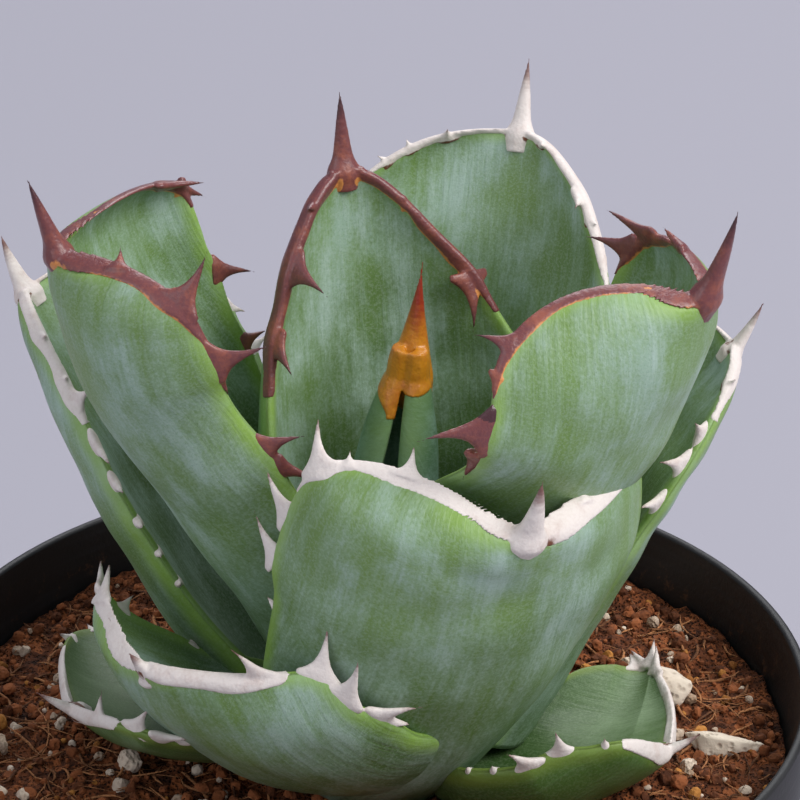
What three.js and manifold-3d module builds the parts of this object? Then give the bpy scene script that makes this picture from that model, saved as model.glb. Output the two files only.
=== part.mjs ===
// A young short-leaved agave: a tight rosette of thick, cupped leaves with horny toothed margins,
// rooted in gritty soil in a thin plastic pot. Millimetres, +Z up, origin at the centre of the
// pot's underside. Heights in the leaf list count from the plane of the pot's rim.

import * as THREE from "three";
import { mergeVertices } from "three/addons/utils/BufferGeometryUtils.js";
import Module from "manifold-3d";

// Driving dimensions
const GAP = 0.45; // air left between neighbouring solids
const SLIVER = 0.2; // finest feature kept after a cut
const WELD = 1e-3; // corners closer than this become one
const CLEAR = 0.15; // extra room round a horn where it meets its own blade
const POT = {
  height: 93,
  rimRadius: 52.5,
  collarRadius: 51.9,
  collarHeight: 12,
  neckRadius: 50.4,
  footRadius: 37,
  wall: 1.2,
  floor: 1.8,
  drainRadius: 4,
  drainCircle: 22,
  drains: 5,
  sides: 44,
};
const SOIL = { level: -8, relief: 0.3, rise: 1.2, spread: 30, bedRadius: 48.5, rings: 5, sides: 32 };
const STEM = {
  x: 4,
  y: -2,
  top: -1,
  widestFrom: -5,
  widestTo: -9,
  taper: -16,
  bottom: -34,
  radius: 9.4,
  rootRadius: 3,
  sides: 20,
};
const BLADE = { rows: 8, columns: 8, crowd: 1.6, apart: 0.018, margin: 1.0, roundness: 2.4, taper: 7 };
const HORN = { lead: 0.03, step: 0.002, proud: 0.12, overlap: 0.08 };
const SPINE = { sides: 6, steps: 4, sunk: 1.2, flat: 0.8 };
const TOOTH = { sides: 4, sunk: 1.3, base: 0.9, spread: 0.28 };

// Colours read from the living plant
const FINISH = {
  blade: { color: 0x6f9079, roughness: 0.62 },
  oldBlade: { color: 0x47682f, roughness: 0.55 },
  paleHorn: { color: 0xd9cdc4, roughness: 0.7 },
  brownHorn: { color: 0x6b3a33, roughness: 0.45 },
  amberHorn: { color: 0xb4661f, roughness: 0.4 },
  pot: { color: 0x17181a, roughness: 0.6 },
  soil: { color: 0x5c3320, roughness: 0.95 },
  stem: { color: 0x7c7a4c, roughness: 0.8 },
};

// The leaves, from the youngest in the middle to the oldest on the soil. Each holds:
//   turn    direction it grows in, degrees counter-clockwise from +X
//   path    its inner midline as radius from the stem and height above the rim, base to tip
//   sway    sideways drift of that midline
//   hard    width of the horny margin
//   wide    half widths along the blade, on side a (counter-clockwise) and side b
//   curl    how far each side wraps round, degrees
//   apex    where each side starts to round off towards the tip, and how blunt it is
//   horn    where the hard margin starts on each side
//   spine   terminal spine: length, root radius, upward bend in degrees
//   teeth   side, place along the leaf, length, lean towards the tip and lift off the blade
const LEAVES = [
  {
    turn: 75, thick: 3.2, hard: 2.4, finish: "blade", horny: "amberHorn",
    path: [[0, 2], [0, 13], [0, 24], [0.5, 34.5], [0.8, 43.5]],
    sway: [0, 0, 0, -0.7, -1.5],
    wide: { a: [6, 7, 7.5, 6.8, 5.5], b: [6, 7, 7.5, 6.8, 5.5] },
    curl: { a: [110, 125, 150, 165, 165], b: [110, 125, 150, 165, 165] },
    apex: { a: [0.55, 1.4], b: [0.55, 1.4] },
    horn: { a: 0.78, b: 0.86 },
    spine: { length: 10, root: 2, bend: 0 },
    teeth: [],
  },
  {
    turn: 115, thick: 5, hard: 1.9, finish: "blade", horny: "brownHorn",
    path: [[5, 0], [8, 15], [10, 30], [12, 45], [13.5, 60]],
    wide: { a: [10, 14, 17, 14, 12], b: [10, 14, 21, 17, 12] },
    curl: { a: [50, 60, 60, 50, 50], b: [50, 60, 60, 50, 50] },
    apex: { a: [0.6, 1.5], b: [0.6, 1.5] },
    horn: { a: 0.62, b: 0.7 },
    spine: { length: 9, root: 1.7, bend: 0 },
    teeth: [
      ["a", 0.95, 2.5, -20, 0], ["a", 0.85, 6.5, -30, 55], ["a", 0.72, 5, -60, 40],
      ["b", 0.93, 2, -60, 0], ["b", 0.79, 6.5, -112, 28],
    ],
  },
  {
    turn: -32, thick: 5, finish: "blade", horny: "brownHorn",
    path: [[5, 0], [12, 13], [21, 28], [30.5, 43.5], [37.6, 59.5]],
    wide: { a: [11, 15, 18, 20, 20], b: [11, 16, 20.5, 21.5, 23] },
    curl: { a: [50, 60, 75, 90, 90], b: [50, 60, 72, 42, 100] },
    apex: { a: [0.78, 2.5], b: [0.8, 2.5] },
    horn: { a: 0.8, b: 0.83 },
    spine: { length: 11, root: 1.9, bend: 10 },
    teeth: [
      ["b", 0.89, 4, -15, 0], ["b", 0.85, 3, -80, 0], ["b", 0.77, 7.5, -15, 0], ["b", 0.72, 5, -80, 0],
      ["a", 0.98, 3.5, -50, -10], ["a", 0.92, 6.5, -40, 0], ["a", 0.86, 6, -30, 0],
    ],
  },
  {
    turn: 195, thick: 5, finish: "blade", horny: "brownHorn",
    path: [[5, 0], [12, 14], [21.5, 29], [32, 45], [37, 60]],
    wide: { a: [10, 13.5, 16, 18, 19], b: [11, 15, 19.5, 24, 24.5] },
    curl: { a: [50, 60, 65, 70, 70], b: [50, 60, 75, 90, 90] },
    apex: { a: [0.8, 3], b: [0.82, 3] },
    horn: { a: 0.84, b: 0.86 },
    spine: { length: 9, root: 1.9, bend: 0 },
    teeth: [
      ["a", 0.985, 3, 30, 0], ["a", 0.93, 6.5, 12, 0], ["a", 0.8, 6.5, 0, 0], ["a", 0.76, 3, -70, 0],
      ["a", 0.6, 5, -10, 0], ["a", 0.56, 5, -40, 0], ["a", 0.48, 4, 20, 0], ["b", 0.95, 5.5, -55, 15],
      ["b", 0.92, 4.5, -75, 0], ["b", 0.67, 5, -25, 0], ["b", 0.55, 3.5, -5, 0],
    ],
  },
  {
    turn: 62, thick: 5, hard: 1.1, finish: "blade", horny: "paleHorn",
    path: [[8, 0], [14, 15], [19, 30], [24, 45], [30, 59]],
    sway: [0, 0, -0.8, -1.2, 0],
    wide: { a: [11, 15, 18, 20, 19], b: [11, 15, 17, 17, 14] },
    curl: { a: [50, 50, 50, 40, 40], b: [50, 50, 50, 40, 40] },
    apex: { a: [0.78, 2.1], b: [0.7, 1.4] },
    horn: { a: 0.86, b: 0.74 },
    spine: { length: 8.5, root: 1.6, bend: 0 },
    teeth: [
      ["a", 0.98, 2.5, 10, 20], ["a", 0.95, 1.8, 0, 0], ["a", 0.92, 1.8, -20, 0], ["a", 0.76, 4, 10, 0],
      ["a", 0.62, 3.5, 0, 0], ["b", 0.985, 2, -35, 30], ["b", 0.89, 3, -55, 40],
      ["b", 0.85, 1.8, -40, 0], ["b", 0.7, 4, 0, 10],
    ],
  },
  {
    turn: -66, thick: 5, finish: "blade", horny: "paleHorn",
    path: [[9, -4], [17, 5], [24, 18], [29, 30], [33.5, 37]],
    sway: [-5, -4, -1.5, -0.5, 0],
    wide: { a: [8, 14, 21, 24.5, 24], b: [14, 20, 23.5, 24, 23] },
    curl: { a: [40, 45, 48, 48, 46], b: [50, 55, 62, 75, 95] },
    apex: { a: [0.6, 2], b: [0.75, 2.4] },
    horn: { a: 0.8, b: 0.76 },
    spine: { length: 7.5, root: 2.1, bend: 25 },
    teeth: [
      ["b", 0.83, 6, 20, 0], ["b", 0.955, 4, -10, 0], ["b", 0.7, 6, 30, 0], ["b", 0.59, 5.5, 45, 0],
      ["b", 0.44, 2, 25, 0], ["b", 0.885, 1.8, 0, 0], ["a", 0.975, 2, -20, 0], ["a", 0.93, 5.5, -10, 0],
      ["a", 0.66, 4.5, 40, 20], ["a", 0.6, 4, 20, 0],
    ],
  },
  {
    turn: 156, thick: 5, hard: 0.9, finish: "blade", horny: "paleHorn",
    path: [[11, -3], [22, 8], [31, 20.5], [39, 32], [47, 42.5]],
    wide: { a: [12, 14, 15, 14, 11], b: [12, 17, 21, 22.5, 22] },
    curl: { a: [50, 45, 45, 50, 50], b: [50, 50, 45, 40, 35] },
    apex: { a: [0.5, 1.6], b: [0.85, 2.5] },
    horn: { a: 0.7, b: 0.84 },
    spine: { length: 7, root: 1.8, bend: 20 },
    teeth: [
      ["a", 0.9, 2.5, -30, 0], ["a", 0.8, 2, -20, 0], ["a", 0.75, 4.5, -10, 20], ["a", 0.66, 5, -45, 0],
      ["a", 0.57, 3.5, -25, 0], ["a", 0.48, 2.5, -15, 0], ["a", 0.41, 2, -10, 0], ["a", 0.34, 2, 0, 0],
      ["b", 0.7, 2.5, -40, 0], ["b", 0.6, 3, 10, 0], ["b", 0.45, 2.5, 0, 0],
    ],
  },
  {
    turn: 8, thick: 5, hard: 0.8, finish: "blade", horny: "paleHorn",
    path: [[10, -3], [16, 8], [22.5, 19], [30, 31], [38.5, 41.5]],
    wide: { a: [12, 16, 18, 18, 18], b: [12, 13, 13, 13, 12] },
    curl: { a: [50, 50, 45, 40, 40], b: [30, 20, 10, 6, 6] },
    apex: { a: [0.75, 2.2], b: [0.6, 2] },
    horn: { a: 0.82, b: 0.88 },
    spine: { length: 6, root: 1.4, bend: 15 },
    teeth: [
      ["b", 0.95, 1.8, 10, 0], ["b", 0.85, 4, -5, 40], ["b", 0.78, 4.5, -25, 50],
      ["b", 0.69, 4, -20, 40], ["b", 0.57, 2.5, -5, 20], ["b", 0.45, 2, 0, 20], ["b", 0.28, 2, 5, 20],
      ["a", 0.7, 4, 0, 10], ["a", 0.56, 3, 0, 0], ["a", 0.42, 2.5, 0, 0],
    ],
  },
  {
    turn: -125, thick: 5, finish: "blade", horny: "paleHorn",
    path: [[12.5, 0], [19.5, 2.3], [25, 6], [30, 10.5], [34.8, 16.4]],
    sway: [0, -2, -4.5, -7, -9.3],
    wide: { a: [20, 21, 20, 17, 11], b: [12, 15, 17, 18, 17] },
    curl: { a: [38, 38, 34, 42, 10], b: [45, 48, 50, 52, 58] },
    apex: { a: [0.7, 2], b: [0.9, 3] },
    horn: { a: 0.8, b: 0.95 },
    spine: { length: 2.6, root: 1.7, bend: 10 },
    teeth: [
      ["b", 0.97, 5, -40, 0], ["b", 0.93, 5, -30, 0], ["b", 0.8, 3, -20, 20], ["b", 0.45, 2, 0, 0],
      ["a", 0.86, 5, 25, 10], ["a", 0.71, 6, 5, 10], ["a", 0.57, 6, 25, 0], ["a", 0.4, 5, -30, 0],
      ["a", 0.33, 2.5, -50, 0],
    ],
  },
  {
    turn: 98, thick: 5, finish: "blade", horny: "paleHorn",
    path: [[11, -4], [18, 3], [25, 10], [32, 18], [38, 26]],
    wide: { a: [12, 16, 18, 18, 17], b: [12, 16, 18, 18, 17] },
    curl: { a: [50, 50, 45, 40, 40], b: [50, 50, 45, 40, 40] },
    apex: { a: [0.75, 2.2], b: [0.75, 2.2] },
    horn: { a: 0.78, b: 0.76 },
    spine: { length: 6, root: 1.6, bend: 20 },
    teeth: [
      ["a", 0.9, 3, 0, 0], ["a", 0.72, 4, 10, 10], ["a", 0.58, 4, -15, 0], ["a", 0.44, 2.5, 0, 0],
      ["b", 0.93, 2, 0, 0], ["b", 0.8, 4.5, 0, 0], ["b", 0.64, 4, -20, 10], ["b", 0.5, 3, 0, 0],
    ],
  },
  {
    turn: -40, thick: 4, finish: "oldBlade", horny: "paleHorn",
    path: [[11, -5], [17, -5], [23, -4], [28, -2], [32.7, 0]],
    sway: [0, 1.5, 4, 6.5, 9.4],
    twist: [-2, -2],
    wide: { a: [12, 19, 23, 22, 20], b: [12, 15, 15, 13, 12] },
    curl: { a: [20, 20, 20, 20, 20], b: [50, 50, 50, 50, 50] },
    apex: { a: [0.7, 3], b: [0.8, 2.5] },
    horn: { a: 0.8, b: 0.88 },
    spine: { length: 4, root: 1.3, bend: 20 },
    teeth: [
      ["b", 0.82, 2, 0, 0], ["b", 0.66, 4.5, -5, 0], ["b", 0.48, 4.5, -15, 0], ["b", 0.32, 2, 10, 0],
      ["b", 0.22, 1.8, 20, 0], ["a", 0.84, 4.5, -50, 20], ["a", 0.76, 4.5, -40, 20],
      ["a", 0.7, 4.5, -35, 20], ["a", 0.6, 4, -15, 0],
    ],
  },
  {
    turn: 195, thick: 2.6, finish: "oldBlade", horny: "paleHorn",
    path: [[11, -4], [20, -2.5], [27, -1.5], [33, 0.2], [38.6, 3.2]],
    twist: [10, 10],
    wide: { a: [12, 15, 15, 14, 13], b: [12, 18, 22, 24, 24] },
    curl: { a: [30, 30, 30, 30, 30], b: [20, 20, 20, 20, 20] },
    apex: { a: [0.75, 2], b: [0.6, 2] },
    horn: { a: 0.92, b: 0.9 },
    spine: { length: 4.5, root: 1.3, bend: 10 },
    teeth: [
      ["b", 0.84, 2.5, 40, 0], ["b", 0.7, 2, 0, 0], ["b", 0.5, 3, 0, 10], ["a", 0.97, 3.5, -10, 20],
      ["a", 0.88, 4.5, -35, 20], ["a", 0.76, 4, -50, 0], ["a", 0.6, 2.5, -40, 0],
    ],
  },
  {
    turn: 70, thick: 4, finish: "oldBlade", horny: "paleHorn",
    path: [[11, -5], [18, -5], [23, -4], [26, -3], [30, -1]],
    wide: { a: [12, 14, 15, 14, 14], b: [11, 12, 12, 11, 11] },
    curl: { a: [30, 30, 30, 30, 30], b: [30, 30, 30, 30, 30] },
    apex: { a: [0.75, 2.4], b: [0.75, 2.4] },
    horn: { a: 0.86, b: 0.86 },
    spine: { length: 4, root: 1.3, bend: 20 },
    teeth: [
      ["a", 0.8, 3, 0, 10], ["a", 0.64, 3.5, -20, 0], ["a", 0.48, 2.5, 0, 0], ["b", 0.8, 3.5, -10, 0],
      ["b", 0.62, 3, 0, 10], ["b", 0.46, 2.5, 0, 0],
    ],
  },
];

// Larger lumps bedded in the soil's surface: place from the pot's axis, half sizes and turn
const LUMPS = [
  { at: [-33, -26], size: [4.6, 3.6, 2.6], turn: 20 },
  { at: [36, 8], size: [3.6, 3, 2.6], turn: -15 },
  { at: [29, 32], size: [2.8, 2.4, 2.2], turn: 50 },
  { at: [-20, 37], size: [3.2, 2.6, 2.2], turn: 70 },
  { at: [5, -42], size: [2.6, 2.2, 1.8], turn: 10 },
  { at: [42, -4], size: [5.2, 1.5, 1.3], turn: -12 },
];

const wasm = await Module();
wasm.setup();

const radians = THREE.MathUtils.degToRad;

// Smooth run through evenly spaced numbers, t from 0 to 1.
function along(values, t) {
  const last = values.length - 1;
  const x = Math.min(Math.max(t, 0), 1) * last;
  const i = Math.min(Math.floor(x), last - 1);
  const f = x - i;
  const p1 = values[i];
  const p2 = values[i + 1];
  const p0 = i > 0 ? values[i - 1] : 2 * p1 - p2;
  const p3 = i + 2 <= last ? values[i + 2] : 2 * p2 - p1;
  const slope = p2 - p0;
  const bend = 2 * p0 - 5 * p1 + 4 * p2 - p3;
  const turn = 3 * p1 - p0 - 3 * p2 + p3;
  return 0.5 * (2 * p1 + slope * f + bend * f * f + turn * f ** 3);
}

// One leaf's surface: point(t, u) runs from base to tip with t and from margin to margin with u,
// -1 on side b and +1 on side a.
class Leaf {
  constructor(data) {
    Object.assign(this, { sway: [0, 0], twist: [0, 0], hard: 1.5 }, data);
    this.radial = new THREE.Vector3(Math.cos(radians(this.turn)), Math.sin(radians(this.turn)), 0);
    this.across = new THREE.Vector3(-this.radial.y, this.radial.x, 0);
    this.reach = this.path.map((p) => p[0]);
    this.height = this.path.map((p) => p[1]);
    this.length = 0;
    for (let i = 0; i < 20; i += 1) {
      this.length += this.middle(i / 20).distanceTo(this.middle((i + 1) / 20));
    }
  }

  middle(t) {
    return new THREE.Vector3(STEM.x, STEM.y, POT.height + along(this.height, t))
      .addScaledVector(this.radial, along(this.reach, t))
      .addScaledVector(this.across, along(this.sway, t));
  }

  // Directions at t: forward to the tip, across to side a, and inwards off the inner face.
  frame(t) {
    const step = 1e-3;
    const forward = this.middle(Math.min(t + step, 1)).sub(this.middle(Math.max(t - step, 0)));
    forward.normalize();
    const across = this.across.clone().addScaledVector(forward, -this.across.dot(forward));
    across.normalize();
    const inward = forward.clone().cross(across);
    const roll = radians(along(this.twist, t));
    return {
      forward,
      across: across.clone().multiplyScalar(Math.cos(roll)).addScaledVector(inward, Math.sin(roll)),
      inward: inward.clone().multiplyScalar(Math.cos(roll)).addScaledVector(across, -Math.sin(roll)),
    };
  }

  side(u) {
    return u > 0 ? "a" : "b";
  }

  halfWidth(t, u) {
    const [start, blunt] = this.apex[this.side(u)];
    const x = Math.max(0, (t - start) / (1 - start));
    const round = Math.sqrt(Math.max(0, 1 - x ** blunt));
    return Math.max(along(this.wide[this.side(u)], t) * round, this.spine.root);
  }

  thickness(t, u) {
    const width = Math.min(this.halfWidth(t, 1), this.halfWidth(t, -1));
    const core = Math.max(BLADE.margin, Math.min(this.thick * (1.25 - 0.75 * t * t), width * 0.9));
    const toTip = Math.min(((1 - t) * this.length) / BLADE.taper, 1);
    const swell = Math.sqrt(1 - (1 - toTip) ** 2) * Math.max(0, 1 - Math.abs(u) ** BLADE.roundness);
    return BLADE.margin + (core - BLADE.margin) * swell;
  }

  // outer: 0 on the inner face, 1 on the outer face; grow pushes both faces apart.
  point(t, u, outer, grow = 0) {
    const { forward, across, inward } = this.frame(t);
    const width = this.halfWidth(t, u);
    const wrap = radians(along(this.curl[this.side(u)], t));
    const radius = width / wrap;
    const angle = wrap * u;
    const off = outer ? this.thickness(t, u) + grow : -grow;
    return this.middle(t)
      .addScaledVector(across, radius * Math.sin(angle) + off * Math.sin(angle))
      .addScaledVector(inward, radius * (1 - Math.cos(angle)) - off * Math.cos(angle))
      .addScaledVector(forward, t <= 0 ? -grow : 0);
  }

  // How far the horny margin reaches in from the edge at t, measured across the blade.
  bandWidth(t, u) {
    const step = 0.004;
    const rise = this.halfWidth(Math.min(t + step, 1), u) - this.halfWidth(t - step, u);
    const slope = rise / (this.length * (Math.min(t + step, 1) - t + step));
    return Math.min(this.hard * Math.hypot(1, slope), this.halfWidth(t, u) * (1 + HORN.overlap));
  }

  // The blade stops short of the tip by the width of the horny margin.
  get bladeEnd() {
    return 1 - (this.hard + GAP) / this.length;
  }

  // Places along the leaf shared by the blade and its horn, closer together towards the tip.
  get stations() {
    const list = [0, 1, this.bladeEnd, this.bladeEnd + GAP / this.length];
    for (const start of [this.horn.a, this.horn.b]) list.push(start - HORN.lead, start);
    for (let i = 1; i < BLADE.rows; i += 1) {
      const t = 1 - (1 - i / BLADE.rows) ** BLADE.crowd;
      if (list.every((other) => Math.abs(other - t) > BLADE.apart)) list.push(t);
    }
    return [...new Set(list)].sort((p, q) => p - q);
  }
}

// A solid of welded corners; triangles that the weld closes are left out.
function solidFrom(positions, index, weld = 1e-4) {
  const geometry = new THREE.BufferGeometry();
  geometry.setAttribute("position", new THREE.Float32BufferAttribute(positions, 3));
  geometry.setIndex(index);
  const merged = mergeVertices(geometry, weld);
  const kept = [];
  for (let i = 0; i < merged.index.count; i += 3) {
    const [p, q, r] = merged.index.array.slice(i, i + 3);
    if (p !== q && q !== r && r !== p) kept.push(p, q, r);
  }
  return new wasm.Manifold(
    new wasm.Mesh({
      numProp: 3,
      vertProperties: merged.attributes.position.array,
      triVerts: new Uint32Array(kept),
    }),
  );
}

// The same, with its faces turned outwards whichever way round they were listed.
function outwards(positions, index) {
  const made = solidFrom(positions, index);
  return made.volume() > 0 ? made : solidFrom(positions, index.reverse());
}

// A closed slab between an inner and an outer grid of points, split alike on both faces.
function slab(inner, outer) {
  const n = inner.length;
  const m = inner[0].length;
  const positions = [...inner.flat(), ...outer.flat()].flatMap((p) => p.toArray());
  const a = (i, j) => i * m + j;
  const b = (i, j) => n * m + i * m + j;
  const index = [];
  const quad = (p, q, r, s) => index.push(p, q, r, p, r, s);
  for (let i = 0; i < n - 1; i += 1) {
    for (let j = 0; j < m - 1; j += 1) {
      quad(a(i, j), a(i, j + 1), a(i + 1, j + 1), a(i + 1, j));
      index.push(b(i, j), b(i + 1, j + 1), b(i, j + 1), b(i, j), b(i + 1, j), b(i + 1, j + 1));
    }
    quad(a(i, 0), a(i + 1, 0), b(i + 1, 0), b(i, 0));
    quad(a(i + 1, m - 1), a(i, m - 1), b(i, m - 1), b(i + 1, m - 1));
  }
  for (let j = 0; j < m - 1; j += 1) {
    quad(a(0, j + 1), a(0, j), b(0, j), b(0, j + 1));
    quad(a(n - 1, j), a(n - 1, j + 1), b(n - 1, j + 1), b(n - 1, j));
  }
  return outwards(positions, index);
}

// A tapering spike along points, with a section of the given half sizes and a sharp end.
function spike(points, flat, broad, sides) {
  const positions = [];
  const index = [];
  const rings = points.length - 1;
  points.forEach((point, i) => {
    if (i === rings) {
      positions.push(...point.at.toArray());
      return;
    }
    for (let k = 0; k < sides; k += 1) {
      const angle = (2 * Math.PI * k) / sides;
      const corner = point.at
        .clone()
        .addScaledVector(flat, Math.cos(angle) * point.wide)
        .addScaledVector(broad, Math.sin(angle) * point.deep);
      positions.push(...corner.toArray());
    }
  });
  for (let i = 0; i < rings; i += 1) {
    for (let k = 0; k < sides; k += 1) {
      const next = (k + 1) % sides;
      const p = i * sides + k;
      const q = i * sides + next;
      if (i === rings - 1) index.push(p, q, rings * sides);
      else index.push(p, q, q + sides, p, q + sides, p + sides);
    }
  }
  for (let k = 1; k < sides - 1; k += 1) index.push(0, k + 1, k);
  return outwards(positions, index);
}

// Where the green blade ends across the leaf: short of the horny margin once that starts.
function bladeEdge(leaf, t, side) {
  const u = side === "a" ? 1 : -1;
  if (t < leaf.horn[side] - HORN.lead - HORN.step / 2) return u;
  return u * Math.max(1 - (leaf.bandWidth(t, u) + GAP) / leaf.halfWidth(t, u), 0.02);
}

function bladeSolid(leaf) {
  const stations = leaf.stations.filter((t) => t <= leaf.bladeEnd);
  const starts = [leaf.horn.a, leaf.horn.b].map((t) => t - HORN.lead);
  const grid = (outer) =>
    stations.map((t) => {
      const place = starts.includes(t) ? t - HORN.step : t;
      const low = bladeEdge(leaf, place, "b");
      const high = bladeEdge(leaf, place, "a");
      const line = [];
      for (let j = 0; j <= BLADE.columns; j += 1) {
        line.push(leaf.point(t, low + ((high - low) * j) / BLADE.columns, outer));
      }
      return line;
    });
  return slab(grid(0), grid(1));
}

// The whole leaf a little larger all round, used to clear its neighbours.
function bladeCutter(leaf) {
  const grid = (outer) =>
    leaf.stations.map((t) => {
      const line = [];
      for (let j = 0; j <= BLADE.columns; j += 1) {
        const u = -1 + (2 * j) / BLADE.columns;
        const spread = 1 + (GAP + HORN.proud) / leaf.halfWidth(t, u);
        line.push(leaf.point(t, u * spread, outer, GAP + HORN.proud));
      }
      return line;
    });
  return slab(grid(0), grid(1));
}

// A strip of the horny margin on one side; the two strips meet and close the tip.
function marginStrip(leaf, side, grow) {
  const sign = side === "a" ? 1 : -1;
  const stations = leaf.stations.filter((t) => t >= leaf.horn[side]);
  const grid = (outer) =>
    stations.map((t) => {
      const width = leaf.halfWidth(t, sign);
      const open = t <= leaf.bladeEnd + 1e-6;
      const closed = -HORN.overlap;
      const inner = open ? Math.max(1 - (leaf.bandWidth(t, sign) + grow) / width, closed) : closed;
      const edge = 1 + grow / width;
      return [inner, (inner + edge) / 2, edge].map((u) =>
        leaf.point(t, sign * u, outer, HORN.proud + grow),
      );
    });
  return slab(grid(0), grid(1));
}

// The spine that the leaf ends in, with its root sunk in the horny tip.
function terminalSpine(leaf, grow) {
  const { forward, across, inward } = leaf.frame(1);
  const { length, root, bend } = leaf.spine;
  const { sides, steps, sunk, flat } = SPINE;
  const at = leaf.middle(1).addScaledVector(inward, -root / 2).addScaledVector(forward, -sunk);
  const direction = forward.clone();
  const points = [{ at: at.clone(), wide: root + grow, deep: root * flat + grow }];
  for (let i = 1; i <= steps; i += 1) {
    direction.addScaledVector(inward, radians(bend) / steps).normalize();
    at.addScaledVector(direction, (length + sunk) / steps);
    const size = root * (1 - i / steps) ** 0.8 + grow;
    points.push({ at: at.clone(), wide: size, deep: size * flat });
  }
  return spike(points, across, inward, sides);
}

// A marginal tooth: broad along the margin, thin across it, leaning and lifting as listed.
function tooth(leaf, [side, t, length, lean, lift], grow) {
  const u = side === "a" ? 1 : -1;
  const step = 0.01;
  const edge = leaf.point(t, u, 0);
  const root = edge.clone().lerp(leaf.point(t, u, 1), 0.5);
  const margin = leaf.point(Math.min(t + step, 1), u, 0).sub(leaf.point(t - step, u, 0)).normalize();
  const out = edge.clone().sub(leaf.point(t, u * 0.9, 0));
  out.addScaledVector(margin, -out.dot(margin)).normalize();
  const off = margin.clone().cross(out);
  if (off.dot(leaf.frame(t).inward) < 0) off.negate();
  const slant = radians(lean);
  const raise = radians(lift);
  const direction = out
    .clone()
    .multiplyScalar(Math.cos(slant) * Math.cos(raise))
    .addScaledVector(margin, Math.sin(slant) * Math.cos(raise))
    .addScaledVector(off, Math.sin(raise));
  const broad = TOOTH.base + length * TOOTH.spread;
  const spot = (share, wide, deep) => ({
    at: root.clone().addScaledVector(direction, length * share),
    wide: wide + grow,
    deep: deep + grow,
  });
  const start = root.clone().addScaledVector(out, -TOOTH.sunk - grow);
  const points = [
    { at: start, wide: broad * 1.15 + grow, deep: 0.6 + grow },
    spot(0.15, broad * 0.8, 0.65),
    spot(0.55, broad * 0.34, 0.5),
    spot(1 + grow / length, 0, 0),
  ];
  return spike(points, margin, off, TOOTH.sides);
}

// The teeth that stand on the horny margin, or those lower down on the green blade.
function teethOf(leaf, onHorn, grow) {
  return leaf.teeth
    .filter(([side, t]) => t > leaf.horn[side] + 0.005 === onHorn)
    .map((entry) => tooth(leaf, entry, grow));
}

// All the horn of one leaf: both margins, the teeth that stand on them and the spine.
function hornSolid(leaf, grow) {
  return wasm.Manifold.union([
    marginStrip(leaf, "a", grow),
    marginStrip(leaf, "b", grow),
    terminalSpine(leaf, grow),
    ...teethOf(leaf, true, grow),
  ]);
}

// The main body of a solid, with slivers smoothed away and loose scraps dropped.
function mainBody(solid) {
  const largest = (bodies) => bodies.sort((p, q) => q.volume() - p.volume())[0];
  const { vertProperties, triVerts } = largest(solid.simplify(SLIVER).decompose()).getMesh();
  return largest(solidFrom([...vertProperties], [...triVerts], WELD).decompose());
}

// A round solid turned from an outline of radius and height.
function lathe(profile, sides) {
  const geometry = new THREE.LatheGeometry(
    profile.map(([r, z]) => new THREE.Vector2(r, z)),
    sides,
  );
  geometry.rotateX(Math.PI / 2);
  geometry.deleteAttribute("normal");
  geometry.deleteAttribute("uv");
  return outwards([...geometry.attributes.position.array], [...geometry.index.array]);
}

// The pot: a tapered wall with a wider collar, and drain holes round the floor.
function potSolid() {
  const { height, wall, floor } = POT;
  const shoulder = height - POT.collarHeight;
  const profile = [
    [0, 0],
    [POT.footRadius - 1, 0],
    [POT.footRadius, 1],
    [POT.neckRadius, shoulder],
    [POT.collarRadius, shoulder + 1],
    [POT.rimRadius, height - 0.4],
    [POT.rimRadius - 0.4, height],
    [POT.rimRadius - wall, height],
    [POT.neckRadius - wall, shoulder],
    [POT.footRadius - wall, floor],
    [0, floor],
  ];
  const holes = [];
  for (let i = 0; i < POT.drains; i += 1) {
    const hole = new THREE.CylinderGeometry(POT.drainRadius, POT.drainRadius, 3 * floor, 8);
    const angle = (2 * Math.PI * (i + 0.5)) / POT.drains;
    hole.rotateX(Math.PI / 2);
    hole.translate(POT.drainCircle * Math.cos(angle), POT.drainCircle * Math.sin(angle), floor / 2);
    hole.deleteAttribute("normal");
    hole.deleteAttribute("uv");
    const merged = mergeVertices(hole, 1e-4);
    holes.push(solidFrom([...merged.attributes.position.array], [...merged.index.array]));
  }
  return lathe(profile, POT.sides).subtract(wasm.Manifold.union(holes));
}

// Inner radius of the pot at height z above its underside.
function potInside(z) {
  const shoulder = POT.height - POT.collarHeight;
  const foot = POT.footRadius - POT.wall;
  const neck = POT.neckRadius - POT.wall;
  const rim = POT.rimRadius - POT.wall;
  if (z < shoulder) return foot + ((neck - foot) * (z - POT.floor)) / (shoulder - POT.floor);
  return neck + ((rim - neck) * (z - shoulder)) / POT.collarHeight;
}

// The soil's surface: uneven, and a little heaped round the stem.
function soilTop(x, y) {
  const ripple = Math.sin(x * 0.31 + 1.3) * Math.cos(y * 0.27 - 0.4) + 0.6 * Math.sin(x * 0.11 - y * 0.4);
  const away = Math.hypot(x - STEM.x, y - STEM.y) / SOIL.spread;
  return POT.height + SOIL.level + SOIL.relief * ripple + SOIL.rise * Math.exp(-away * away);
}

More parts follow.
